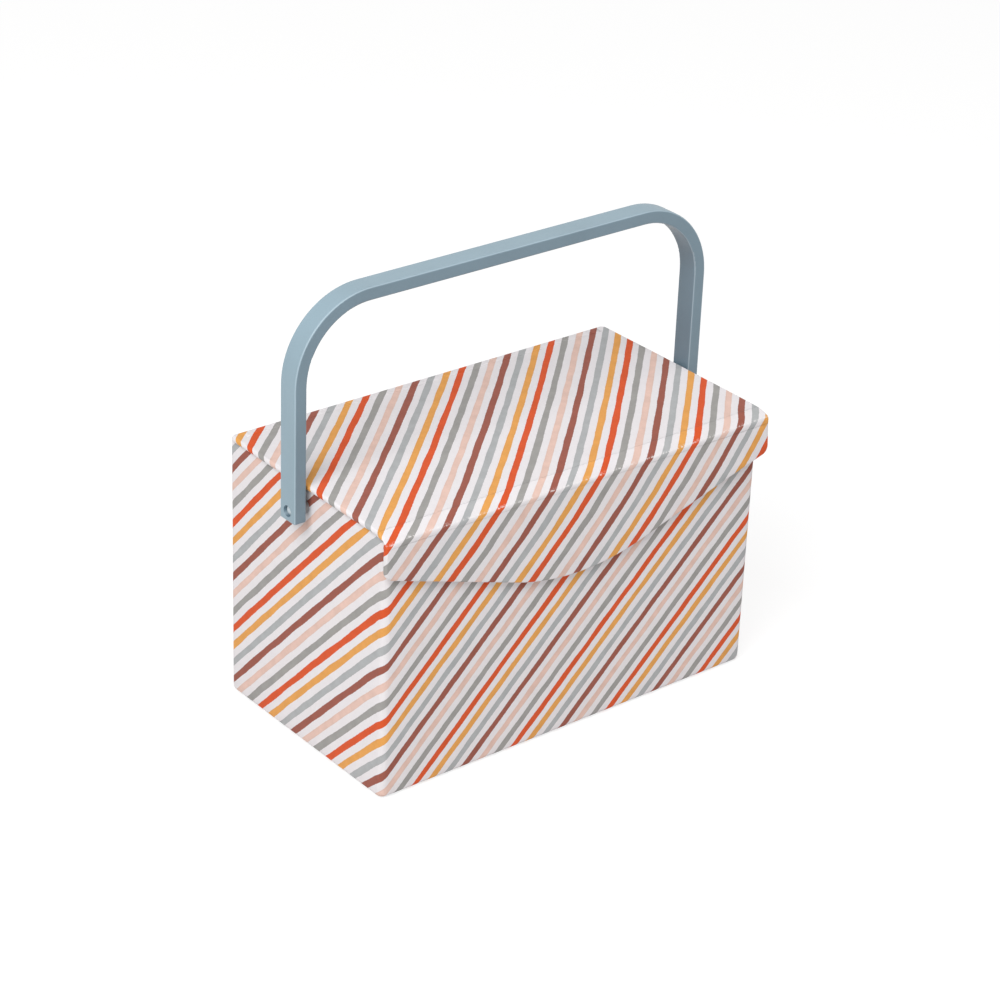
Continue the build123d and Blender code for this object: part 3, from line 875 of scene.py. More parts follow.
@dataclass
class BoxBody:
    """Walls and base: cloth cover, linings, the sheet under the base and the boards inside.

    Attributes:
        finishes: The materials.
        half_width: Half the width over the cloth.
        half_depth: Half the depth over the cloth.
        wall_top: Height of the walls over the cloth.
        upright_radius: Radius of the upright edges.
        lower_radius: Radius of the lower edges.
        top_radius: Radius of the cloth over the walls' top edges.
        cover_low: Height of the cloth turned under the base.
        hem: Width of the cloth turned under the base.
        board: Width of the walls' top.
        seam: Distance of the cover's seam on the back from the rear left edge.
        overlap: Width of the lap at the seam.
        lap_rise: How far the lap stands proud of the cloth under it.
        join: Width before the front left edge at which the print begins to take on the front's lay.
        ahead: Repeats by which the front's print is counted on from the left side's.
    """

    finishes: Finishes
    half_width: float = 150.0
    half_depth: float = 82.5
    wall_top: float = 182.8
    upright_radius: float = 5.1
    lower_radius: float = 3.3
    top_radius: float = 1.1
    cover_low: float = 0.8
    hem: float = 14.0
    board: float = 5.4
    seam: float = 24.0
    overlap: float = 9.0
    lap_rise: float = 0.45
    join: float = 3.0
    ahead: float = 3.0

    def girth(self) -> list[tuple[float, Point2, Point2]]:
        """Points round the box with their run along the cloth.

        Returns:
            For each point its run from the front left edge, its place and the way outwards.
        """
        radius = self.upright_radius
        flat_x, flat_y = self.half_width - radius, self.half_depth - radius
        arc = QUARTER * radius
        sides = (
            ((-flat_x, flat_y), (-1, 0), (0, -1), 2 * flat_y),
            ((-flat_x, -flat_y), (0, -1), (1, 0), 2 * flat_x),
            ((flat_x, -flat_y), (1, 0), (0, 1), 2 * flat_y),
            ((flat_x, flat_y), (0, 1), (-1, 0), 2 * flat_x),
        )
        straights, turns = 16, 8
        points = []
        run = -2 * flat_y
        for (x, y), out, way, length in sides:
            for i in range(straights + 1):
                along = length * i / straights
                place = (x + out[0] * radius + way[0] * along, y + out[1] * radius + way[1] * along)
                points.append((run + along, place, out))
            run += length
            centre = (x + way[0] * length, y + way[1] * length)
            for i in range(1, turns):
                cos, sin = math.cos(QUARTER * i / turns), math.sin(QUARTER * i / turns)
                turn = (out[0] * cos + way[0] * sin, out[1] * cos + way[1] * sin)
                place = (centre[0] + radius * turn[0], centre[1] + radius * turn[1])
                points.append((run + arc * i / turns, place, turn))
            run += arc
        return points

    def print_at(self, run: float, height: float) -> Point2:
        """The print's coordinates on the cover.

        Args:
            run: Run round the box from the front left edge.
            height: Height up the cloth, carried on over its turned edges.

        Returns:
            Repeats across and along the stripes.
        """
        arc = QUARTER * self.upright_radius
        half_front = self.half_width - self.upright_radius
        half_side = self.half_depth - self.upright_radius
        if run < arc:
            front = FRONT_LAY.repeat_at(-half_front, height) + self.ahead
            drift = front - LEFT_LAY.repeat_at(half_side + arc, height)
            near = eased(share_of(run, -self.join, arc))
            across = LEFT_LAY.repeat_at(half_side + run, height) + drift * near
        else:
            u = run - arc - half_front
            within = min(u, half_front)
            beyond = FRONT_LAY.along_u * (u - within) / 100
            across = FRONT_LAY.repeat_at(within, height) + self.ahead + beyond
        return across, FRONT_LAY.run_at(run, height)

    def profile(self) -> list[tuple[float, float, float]]:
        """The cloth's way over the wall: inset, height and height up the cloth.

        Returns:
            Rows from the wall's inner top edge to the end of the hem.
        """
        top, low, floor = self.top_radius, self.lower_radius, self.cover_low
        rows = [(self.board, self.wall_top, self.wall_top + self.board)]
        for step in range(6):
            angle = QUARTER * step / 5
            inset, drop = top * (1 - math.sin(angle)), top * (1 - math.cos(angle))
            rows.append((inset, self.wall_top - drop, self.wall_top + top * (0.9 - angle)))
        heights = [self.wall_top - 8 - i * 14.5 for i in range(12)]
        rows += [(0.0, z, z) for z in heights]
        for step in range(9):
            angle = QUARTER * step / 8
            inset, rise = low * (1 - math.cos(angle)), low * (1 - math.sin(angle))
            rows.append((inset, floor + rise, floor + low - low * angle))
        rows.append((self.hem, floor, floor + low - low * QUARTER - (self.hem - low)))
        return rows

    def cover(self) -> bpy.types.Object:
        """The printed cover, one strip round the box with a lapped seam on the back.

        Returns:
            The piece.
        """
        points = self.girth()
        radius = self.upright_radius
        around = 4 * (self.half_width + self.half_depth - 2 * radius + QUARTER * radius)
        seam = -2 * (self.half_depth - radius) - QUARTER * radius - self.seam
        seam_x = -self.half_width + radius + self.seam
        end = seam + around
        strip = [(seam, (seam_x, self.half_depth), (0, 1))]
        strip += [(run - around, place, out) for run, place, out in points if run - around > seam]
        strip += [(run, place, out) for run, place, out in points if run < end]
        for along in (0.0, 0.4, 0.8, self.overlap):
            strip.append((end + along, (seam_x - along, self.half_depth), (0, 1)))
        rows, cloth = [], []
        for inset, height, up in self.profile():
            row, marks = [], []
            limit_x, limit_y = self.half_width - inset, self.half_depth - inset
            for run, place, out in strip:
                proud = self.lap_rise * share_of(run, end - 6.0, end)
                pull = inset if abs(out[0]) in (0, 1) else min(inset, radius - 0.4)
                x, y = place[0] - out[0] * pull, place[1] - out[1] * pull
                x = max(-limit_x, min(limit_x, x)) + out[0] * proud
                y = max(-limit_y, min(limit_y, y)) + out[1] * proud
                row.append((x, y, height))
                marks.append(self.print_at(run, up))
            rows.append(row)
            cloth.append(marks)
        piece = grid_piece("box_cloth", rows, self.finishes.printed, (0, 0, 90), cloth)
        thicken(piece, 0.8)
        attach(piece, "box")
        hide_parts("outer_cover")
        return piece

    def wall_lining(self) -> bpy.types.Object:
        """Lining pasted to the inner faces of the four walls.

        Returns:
            The piece.
        """
        outline = rounded_rectangle(143.75, 76.25, 1.2, steps=3)
        over_top, rippled = 181.2, 0.12
        rows = []
        for z in (7.35, 20, 45, 70, 95, 120, 145, 165, over_top, 182.1, 182.5):
            turned = max(0.0, z - over_top) * 0.4
            row = []
            for point, after in zip(outline, outline[1:] + outline[:1]):
                steps = 14 if math.dist(point.place, after.place) > 20 else 1
                for step in range(steps):
                    share = step / steps
                    x = point.place[0] + (after.place[0] - point.place[0]) * share
                    y = point.place[1] + (after.place[1] - point.place[1]) * share
                    out = turned + rippled * noise.noise(Vector((x / 30, y / 30, z / 24)))
                    row.append((x + point.side[0] * out, y + point.side[1] * out, z))
            rows.append(row)
        piece = grid_piece("wall_lining_cloth", rows, self.finishes.lining, (0, 0, 90), ring=True)
        piece.data.flip_normals()
        thicken(piece, 0.5)
        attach(piece, "box")
        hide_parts("wall_lining")
        return piece

    def base_lining(self) -> bpy.types.Object:
        """Covered card laid on the base inside.

        Returns:
            The piece.
        """
        outline = rounded_rectangle(143.2, 75.7, 1.5)
        rows = rounded_edge(7.3, 6.35, 0.35, 0.1, 3)
        piece = plate_piece(
            "base_lining_card", outline, rows, plate_level, self.finishes.lining, (0, 0, 6.8), back=True,
            swell=lambda u, v: 0.10 * noise.noise(Vector((u / 40, v / 40, 0.3))),
        )
        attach(piece, "box")
        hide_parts("base_lining")
        return piece

    def underside(self) -> bpy.types.Object:
        """Felted sheet pasted under the box, over the cover's turned hem.

        Returns:
            The piece.
        """
        outline = rounded_rectangle(141.0, 73.5, 2.0)
        section = ((0.25, 0.0, 0.0), (0.0, 0.2, 0.3), (0.0, 0.75, 0.9), (0.2, 0.8, 1.2))
        rows = [EdgeRow(*row) for row in section]
        piece = plate_piece(
            "underside_sheet", outline, rows, plate_level, self.finishes.underside, (0, 0, 0.4), back=True
        )
        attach(piece, "box")
        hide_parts("base_cover")
        return piece

    def dress_boards(self) -> None:
        """Gives the boards, discs and ledges their materials."""
        boards = ("base_board", "front_board", "back_board", "left_end_board", "right_end_board")
        for name in boards + ("left_tray_ledge", "right_tray_ledge"):
            dress(name, self.finishes.fibreboard)
        dress("strike_discs", self.finishes.steel)

    def build(self) -> list[bpy.types.Object]:
        """Builds every piece of the walls and base."""
        self.dress_boards()
        return [self.cover(), self.wall_lining(), self.base_lining(), self.underside()]


def dress(node: str, material: bpy.types.Material) -> None:
    """Gives a kept solid its material.

    Args:
        node: Name of the solid's node.
        material: The material for all its slots.
    """
    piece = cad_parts[node]
    piece.data.materials.clear()
    piece.data.materials.append(material)


# Hinges of cloth


@dataclass(frozen=True)
class Shoulder:
    """The lid's soft front shoulder and the fold that the flap hangs from.

    Attributes:
        start_y: Where the level top begins to slope.
        board_y: Where the lid's board ends.
        top: Height of the level top.
        front_y: Place of the flap's face.
        radius: Radius of the fold.
        fold_low: Height of the fold's axis where it sags most.
        end_z: Height at which the flap's own cloth begins.
    """

    start_y: float = -75.0
    board_y: float = -77.5
    top: float = 186.9
    front_y: float = -87.0
    radius: float = 3.0
    fold_low: float = 178.93
    end_z: float = 177.5

    def fold_z(self, x: float) -> float:
        """Height of the fold's axis, which sags in the middle and falls off at the left corner."""
        corner = share_of(x, -137.0, -152.0)
        return self.fold_low + 1.3 * ((x + 10.0) / 150.0) ** 2 - 2.0 * eased(corner)

    def meeting(self, x: float) -> tuple[float, float, float]:
        """Where the slope meets the fold.

        Args:
            x: Place along the fold.

        Returns:
            The place along Y, the height and the slope's angle there.
        """
        angle = 0.75
        axis_y, axis_z = self.front_y + self.radius, self.fold_z(x)

        # The slope's foot and its angle depend on each other, and settle after a few rounds
        for _ in range(6):
            y = axis_y - self.radius * math.sin(angle)
            z = axis_z + self.radius * math.cos(angle)
            angle = math.atan2(2 * (self.top - z), self.start_y - y)
        return y, z, angle

    def drop(self, x: float, y: float) -> float:
        """How far the slope lies below the level top at a place."""
        end_y, end_z, _ = self.meeting(x)
        share = max(0.0, (self.start_y - y) / (self.start_y - end_y))
        return (self.top - end_z) * share * share

    def path(self, x: float) -> list[tuple[float, float, float]]:
        """Section from the board's edge over the fold to the flap's own cloth.

        Args:
            x: Place along the fold.

        Returns:
            Places along Y, heights and the run from where the slope begins.
        """
        end_y, _, angle = self.meeting(x)
        on_board, steps = 4, 8
        line = [(self.start_y, self.top)]
        for first, last, parts in ((self.start_y, self.board_y, on_board), (self.board_y, end_y, steps)):
            for i in range(1, parts + 1):
                y = first + (last - first) * i / parts
                line.append((y, self.top - self.drop(x, y)))
        axis_y, axis_z = self.front_y + self.radius, self.fold_z(x)
        for i in range(1, steps + 1):
            turn = angle + (QUARTER - angle) * i / steps
            line.append((axis_y - self.radius * math.sin(turn), axis_z + self.radius * math.cos(turn)))
        line.append((self.front_y, self.end_z + (axis_z - self.end_z) * 0.4))
        line.append((self.front_y, self.end_z))
        run, places = 0.0, []
        for (y0, z0), (y1, z1) in zip([line[0]] + line, line):
            run += math.hypot(y1 - y0, z1 - z0)
            places.append((y1, z1, run))
        return places[on_board:]


# The lid


@dataclass
class Lid:
    """Padded lid: printed cloth, wadding, lining, and the cloth hinge at its back.

    Attributes:
        finishes: The materials.
        half_width: Half the lid's width.
        front_y: Where the lid ends at the crease.
        back_y: Where the lid ends at the back.
        top: Height of the lid's top.
        low: Height of the lid's underside.
        edge_radius: Radius of its top edges.
        under_radius: Radius of its lower edges.
        corner_radius: Radius of its rear corners.
        hem: Width of the cloth turned under.
        strip_half: Half the width of the hinge's cloth.
        skew: How much lower the cloth lies at the rear right corner.
        rise: How far the wadding lifts the cloth in the middle.
        shoulder: The soft front shoulder.
    """

    finishes: Finishes
    half_width: float = 152.5
    front_y: float = -77.5
    back_y: float = 78.1
    top: float = 186.9
    low: float = 183.25
    edge_radius: float = 1.9
    under_radius: float = 1.5
    corner_radius: float = 4.0
    hem: float = 11.0
    strip_half: float = 144.5
    skew: float = 0.45
    rise: float = 0.2
    shoulder: Shoulder = field(default_factory=Shoulder)

    def outline(self) -> list[EdgePoint]:
        """The lid's outline, with its straight hinge edge at the front.

        Returns:
            Points round the lid from the front left corner, clockwise from above.
        """
        radius, deep, wide = self.corner_radius, 12, 20
        flat_x, flat_y = self.half_width - radius, self.back_y - radius
        sides = [self.front_y + (flat_y - self.front_y) * i / deep for i in range(1, deep)]
        across = [2 * i / wide - 1 for i in range(1, wide)]
        points = [EdgePoint((-self.half_width, self.front_y), (-1, 0), (0, -1))]
        points += [EdgePoint((-self.half_width, y), (-1, 0)) for y in sides]
        for sign, first in ((-1, 180), (1, 90)):
            for step in range(7):
                angle = math.radians(first - 15 * step)
                way = (math.cos(angle), math.sin(angle))
                points.append(EdgePoint((sign * flat_x + radius * way[0], flat_y + radius * way[1]), way))
            if sign < 0:
                points += [EdgePoint((flat_x * share, self.back_y), (0, 1)) for share in across]
        points += [EdgePoint((self.half_width, y), (1, 0)) for y in reversed(sides)]
        points.append(EdgePoint((self.half_width, self.front_y), (1, 0), (0, -1)))
        points += [EdgePoint((-self.half_width * share, self.front_y), (0, 0), (0, -1)) for share in across]
        return points

    def lay(self, u: float, v: float) -> Point2:
        """The print's coordinates on the lid's cloth."""
        return LID_LAY.repeat_at(u, v), LID_LAY.run_at(u, v)

    def cover(self) -> bpy.types.Object:
        """Printed cloth over the lid and turned under its edges.

        Returns:
            The piece.
        """
        rows = rounded_edge(self.top, self.low, self.edge_radius, self.under_radius)
        rows.append(EdgeRow(self.hem, self.low, rows[-1].run + self.hem, self.hem))
        piece = plate_piece(
            "lid_cloth", self.outline(), rows, plate_level, self.finishes.printed, (0, 0, 185), self.lay,
            cell=12.0, swell=lambda x, y: self.crown(x, y) - self.settle(x, y),
        )
        thicken(piece, 0.45)
        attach(piece, "lid")
        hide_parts("lid_cover")
        return piece

    def crown(self, x: float, y: float) -> float:
        """How far the wadding lifts the cloth at a place, in millimetres."""
        half_u, half_v = 150.0, 75.0
        across = max(0.0, 1 - (x / half_u) ** 2)
        deep = max(0.0, 1 - (y / half_v) ** 2)
        uneven = 0.06 * noise.noise(Vector((x / 35, y / 35, 1.7))) * min(1.0, 6 * across * deep)
        return self.rise * across * deep + uneven - self.shoulder.drop(x, y)

    def settle(self, x: float, y: float) -> float:
        """How much lower the cloth lies towards the rear right corner, in millimetres."""
        return self.skew * share_of(y, 20.0, 70.0) * (x + self.half_width) / (2 * self.half_width)

    def wadding(self) -> bpy.types.Object:
        """Thin fleece between the board and the cloth.

        Returns:
            The piece.
        """
        outline = rounded_rectangle(150.6, 76.4, 3.0, (0.0, 0.2))
        rows = rounded_edge(186.36, 185.92, 0.2, 0.15, 3)
        piece = plate_piece(
            "lid_wadding_pad", outline, rows, plate_level, self.finishes.fleece, (0, 0, 186.1), back=True,
            swell=self.crown,
        )
        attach(piece, "lid")
        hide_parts("lid_wadding")
        return piece

    def lining(self) -> bpy.types.Object:
        """Lining pasted under the lid, over the edge of the hem.

        Returns:
            The piece.
        """
        outline = rounded_rectangle(144.4, 69.8, 1.5, (0.0, 0.2))
        rows = rounded_edge(183.05, 183.42, 0.15, 0.15, 3)
        piece = plate_piece(
            "lid_lining_cloth", outline, rows, plate_level, self.finishes.lining, (0, 0, 183.25), back=True,
            cell=14.0,
        )
        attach(piece, "lid")
        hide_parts("lid_lining")
        return piece

    def back_hinge(self) -> bpy.types.Object:
        """Cloth from the lid's top over its rear edge and down the back wall.

        Returns:
            The piece.
        """
        path = [(70.0, 186.93), (72.5, 186.98), (75.0, 186.95), (76.8, 186.72), (78.4, 185.9), (79.9, 184.8)]
        path += [(81.2, 183.7), (82.2, 182.7), (82.75, 181.4), (82.87, 180.0), (82.87, 177.0), (82.85, 174.0)]
        path += [(82.7, 170.5)]
        spans = 97
        columns = [self.strip_half * (2 * i / spans - 1) for i in range(spans + 1)]
        rows, cloth, run = [], [], 0.0
        for before, place in zip([path[0]] + path, path):
            run += math.dist(before, place)
            on_lid = share_of(place[1], 182.0, 185.0)
            row = []
            for x in columns:
                proud = self.over_seam(x) * (1 - on_lid)
                row.append((x, place[0] + proud, place[1] - on_lid * self.settle(x, place[0])))
            rows.append(row)
            cloth.append([self.lay(x, path[0][0] + run) for x in columns])
        piece = grid_piece("lid_hinge_strip", rows, self.finishes.printed, (0, 76.0, 176.0), cloth)
        thicken(piece, 0.35)
        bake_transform(piece)
        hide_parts("lid_hinge_cloth")
        return piece

    def over_seam(self, x: float) -> float:
        """How far the hinge's cloth stands out where it crosses the cover's lapped seam."""
        return 0.6 * share_of(abs(x + 125.0), 14.0, 8.0)

    def build(self) -> list[bpy.types.Object]:
        """Builds every piece of the lid."""
        dress("lid_board", self.finishes.fibreboard)
        return [self.cover(), self.wadding(), self.lining(), self.back_hinge()]


# The flap


@dataclass
class Flap:
    """Hanging front flap with its cloth, its lining and the crease that joins it to the lid.

    Attributes:
        finishes: The materials.
        half_width: Half the flap's width.
        shift: Place along X of the flap's own middle; the real flap hangs a little to the left.
        longer: How much further its right end reaches.
        shorter: How much less far its left end reaches.
        sag: How much lower its left end hangs.
        curl: How far its lower right corner stands forward.
        top_z: Height at which the flap begins under the crease.
        side_z: Height of the corners of its short sides.
        nose_z: Lowest height, in the middle.
        nose_radius: Radius of the broad nose.
        corner_radius: Radius of the corners.
        front_y: Place of its face.
        back_y: Place of its back.
        hem: Width of the cloth turned over to the back.
        shoulder: The fold that the flap hangs from.
    """

    finishes: Finishes
    half_width: float = 152.5
    shift: float = -0.7
    longer: float = 2.2
    shorter: float = 1.0
    sag: float = 0.7
    curl: float = 2.0
    top_z: float = 177.5
    side_z: float = 158.1
    nose_z: float = 116.5
    nose_radius: float = 166.0
    corner_radius: float = 7.0
    front_y: float = -87.0
    back_y: float = -83.25
    hem: float = 9.0
    shoulder: Shoulder = field(default_factory=Shoulder)

    def half_outline(self) -> list[tuple[Point2, Point2]]:
        """Right half of the flap's lower outline, from the top corner to the nose.

        Returns:
            Places with the way outwards.
        """
        centre_z = self.nose_z + self.nose_radius
        far = math.hypot(self.half_width, self.side_z - centre_z)
        down = math.atan2(self.side_z - centre_z, self.half_width)
        touch = down - math.acos(self.nose_radius / far)
        points = [((self.half_width, self.top_z), (1.0, 0.0))]
        bend = abs(touch)
        cut = self.corner_radius * math.tan(bend / 2)
        start = (self.half_width - self.corner_radius, self.side_z + cut)
        corner_steps, nose_steps = 6, 40
        corner = [-bend * step / corner_steps for step in range(corner_steps + 1)]
        nose = [touch + (-QUARTER - touch) * step / nose_steps for step in range(nose_steps + 1)]
        rounds = ((corner, start, self.corner_radius), (nose, (0.0, centre_z), self.nose_radius))
        for angles, centre, radius in rounds:
            for angle in angles:
                way = (math.cos(angle), math.sin(angle))
                points.append(((centre[0] + radius * way[0], centre[1] + radius * way[1]), way))
        return points

    def outline(self) -> list[EdgePoint]:
        """The flap's outline, with its straight hinge edge on top.

        Returns:
            Points round the flap from its top right corner by way of the nose.
        """
        half = self.half_outline()
        points = [EdgePoint(half[0][0], half[0][1], (0, 1))]
        points += [EdgePoint(place, way) for place, way in half[1:]]
        points += [EdgePoint((-place[0], place[1]), (-way[0], way[1])) for place, way in half[-2:0:-1]]
        points.append(EdgePoint((-self.half_width, self.top_z), (-1, 0), (0, 1)))
        spans = 20
        for i in range(1, spans):
            points.append(EdgePoint((self.half_width * (2 * i / spans - 1), self.top_z), (0, 0), (0, 1)))
        for point in points:
            x, z = point.place
            hung = self.sag * max(0.0, -x / self.half_width) ** 4 * share_of(z, self.top_z, self.top_z - 12.0)
            point.place = (x + self.aside(x), z - hung)
        return points

    def aside(self, x: float) -> float:
        """How far a place along the flap lies to the right of its place on an even one."""
        share = x / self.half_width
        return self.shift + (self.longer if x > 0 else self.shorter) * share * share

    def lean(self, x: float, z: float) -> float:
        """How far the flap's face stands back at a place; its lower right corner stands forward."""
        curls_from = 60.0
        right = max(0.0, (x - curls_from) / (self.half_width - curls_from))
        down = share_of(z, self.top_z, self.top_z - 20.0)
        return -self.curl * right * right * down**1.5

    def lay(self, u: float, v: float) -> Point2:
        """The print's coordinates on the flap, carried on from the lid."""
        near = eased(share_of(v, self.top_z - 14.0, self.top_z))
        drift = SHOULDER_LAY.repeat_at(u, self.fold_run(u)) - FLAP_LAY.repeat_at(u, self.top_z)
        across = FLAP_LAY.repeat_at(u, v) + drift * near
        return across, LID_LAY.run_at(u, self.shoulder.start_y - self.fold_run(0.0) - self.top_z + v)

    def fold_run(self, x: float) -> float:
        """Run over the shoulder and the fold down to the flap's own cloth."""
        return self.shoulder.path(x)[-1][2]

    def cover(self) -> bpy.types.Object:
        """Printed cloth over the flap's face and round its edges.

        Returns:
            The piece.
        """
        rows = rounded_edge(self.front_y, self.back_y, 1.2, 0.9, 5)
        rows.append(EdgeRow(self.hem, self.back_y, rows[-1].run + self.hem, self.hem))
        piece = plate_piece(
            "flap_cloth", self.outline(), rows, plate_upright, self.finishes.printed, (0, -85, 150), self.lay,
            swell=self.lean,
        )
        thicken(piece, 0.5)
        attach(piece, "flap")
        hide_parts("flap_cover")
        return piece

    def lining(self) -> bpy.types.Object:
        """Lining pasted to the flap's back, over the turned cloth.

        Returns:
            The piece.
        """
        inset, hinge_inset = 5.0, 1.0
        outline = []
        for point in self.outline():
            u = point.place[0] - point.side[0] * inset - point.hinge[0] * hinge_inset
            v = point.place[1] - point.side[1] * inset - point.hinge[1] * hinge_inset
            outline.append(EdgePoint((u, v), point.side, point.hinge))
        rows = rounded_edge(-82.93, -83.4, 0.15, 0.15, 2)
        for row in rows:
            row.hinge_inset = row.side_inset
        piece = plate_piece(
            "flap_lining_cloth", outline, rows, plate_upright, self.finishes.lining, (0, -83.2, 150),
            back=True,
        )
        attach(piece, "flap")
        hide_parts("flap_lining")
        return piece

    def crease_section(self, share: float) -> list[tuple[float, float, float]]:
        """Section along X through the crease's cloth, with its rounded and closed ends.

        Args:
            share: How far the section is on its way from lid to flap, from 0 to 1.

        Returns:
            Places along X, depths below the outer face and places on the unrolled cloth.
        """
        radius = 1.9 - 0.7 * share
        depth = 3.4
        flat = self.half_width - radius
        half = []
        for deep in (depth, (depth + radius) / 2, radius):
            half.append((self.half_width, deep, flat + radius * QUARTER + deep - radius))
        for step in range(1, 7):
            angle = QUARTER * (1 - step / 6)
            x, deep = flat + radius * math.sin(angle), radius * (1 - math.cos(angle))
            half.append((x, deep, flat + radius * angle))
        spans = 48
        middle = [flat * (2 * i / spans - 1) for i in range(1, spans)]
        section = [(-x, deep, -u) for x, deep, u in half]
        section += [(x, 0.0, x) for x in middle]
        section += half[::-1]
        settled = min(1.0, 2 * share)
        return [(x + self.aside(x) * settled, deep, u + self.aside(x) * settled) for x, deep, u in section]

    def crease_cloth(self) -> bpy.types.Object:
        """Printed cloth over the crease between lid and flap, with its closed ends.

        Returns:
            The piece.
        """
        shoulder = self.shoulder
        count = len(shoulder.path(0.0))
        inner = [(-77.5, 183.3), (-82.6, 183.2), (-83.1, 182.4), (-83.3, 180.5), (-83.3, self.top_z)]
        legs = len(inner) - 1

        # The pigment has cracked where the slope turns into the fold, about this row
        worn_row, worn_rows = 9.5, 2.2
        rows, cloth, wear = [], [], []
        for i in range(count):
            share = i / (count - 1)
            leg = min(share * legs, legs - 0.001)
            (y0, z0), (y1, z1) = inner[int(leg)], inner[int(leg) + 1]
            inside = (y0 + (y1 - y0) * (leg % 1), z0 + (z1 - z0) * (leg % 1))
            row, marks = [], []
            for x, deep, u in self.crease_section(share):
                y, z, run = shoulder.path(max(-self.half_width, min(self.half_width, x)))[i]
                sag = 0.08 * noise.noise(Vector((x / 9, share * 2, 5.0))) * math.sin(math.pi * share)
                part = min(1.0, deep / math.dist((y, z), inside))
                row.append((x, y - sag + (inside[0] - y) * part, z + (inside[1] - z) * part))
                marks.append(self.crease_print(u, run))
            rows.append(row)
            cloth.append(marks)
            wear.append(max(0.0, 1 - abs(i - worn_row) / worn_rows))
        piece = grid_piece("crease_cloth", rows, self.finishes.printed, (0, -82.0, 180.0), cloth, wear=wear)
        thicken(piece, 0.4)
        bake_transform(piece)
        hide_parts("flap_hinge_cloth")
        return piece

    def crease_print(self, u: float, run: float) -> Point2:
        """The print's coordinates over the crease.

        Args:
            u: Place along the crease on the unrolled cloth.
            run: Run down the cloth from where the lid's slope begins.

        Returns:
            Repeats across and along the stripes.
        """
        board_run = self.shoulder.start_y - self.shoulder.board_y
        near = eased(share_of(run, board_run + 6.0, board_run))
        lid_there = LID_LAY.repeat_at(u, self.shoulder.start_y - board_run)
        drift = lid_there - SHOULDER_LAY.repeat_at(u, board_run)
        across = SHOULDER_LAY.repeat_at(u, run) + drift * near
        return across, LID_LAY.run_at(u, self.shoulder.start_y - run)

    def crease_lining(self) -> bpy.types.Object:
        """Lining that crosses the inside of the crease.

        Returns:
            The piece.
        """
        path = [(-73.0, 183.16), (-76.0, 183.12), (-79.0, 183.08), (-81.6, 183.06), (-82.7, 182.95)]
        path += [(-83.0, 182.5), (-83.08, 181.5), (-83.08, 180.0), (-83.08, 178.0), (-83.08, 175.8)]
        half, spans = 149.0, 40
        columns = [half * (2 * i / spans - 1) for i in range(spans + 1)]
        rows = [[(x, y, z) for x in columns] for y, z in path]
        piece = grid_piece("crease_lining_strip", rows, self.finishes.lining, (0, -85.0, 185.0))
        thicken(piece, 0.25)
        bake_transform(piece)
        return piece

    def build(self) -> list[bpy.types.Object]:
        """Builds every piece of the flap."""
        dress("flap_board", self.finishes.greyboard)
        dress("flap_magnets", self.finishes.steel)
        return [self.cover(), self.lining(), self.crease_cloth(), self.crease_lining()]


# What hangs under the lid


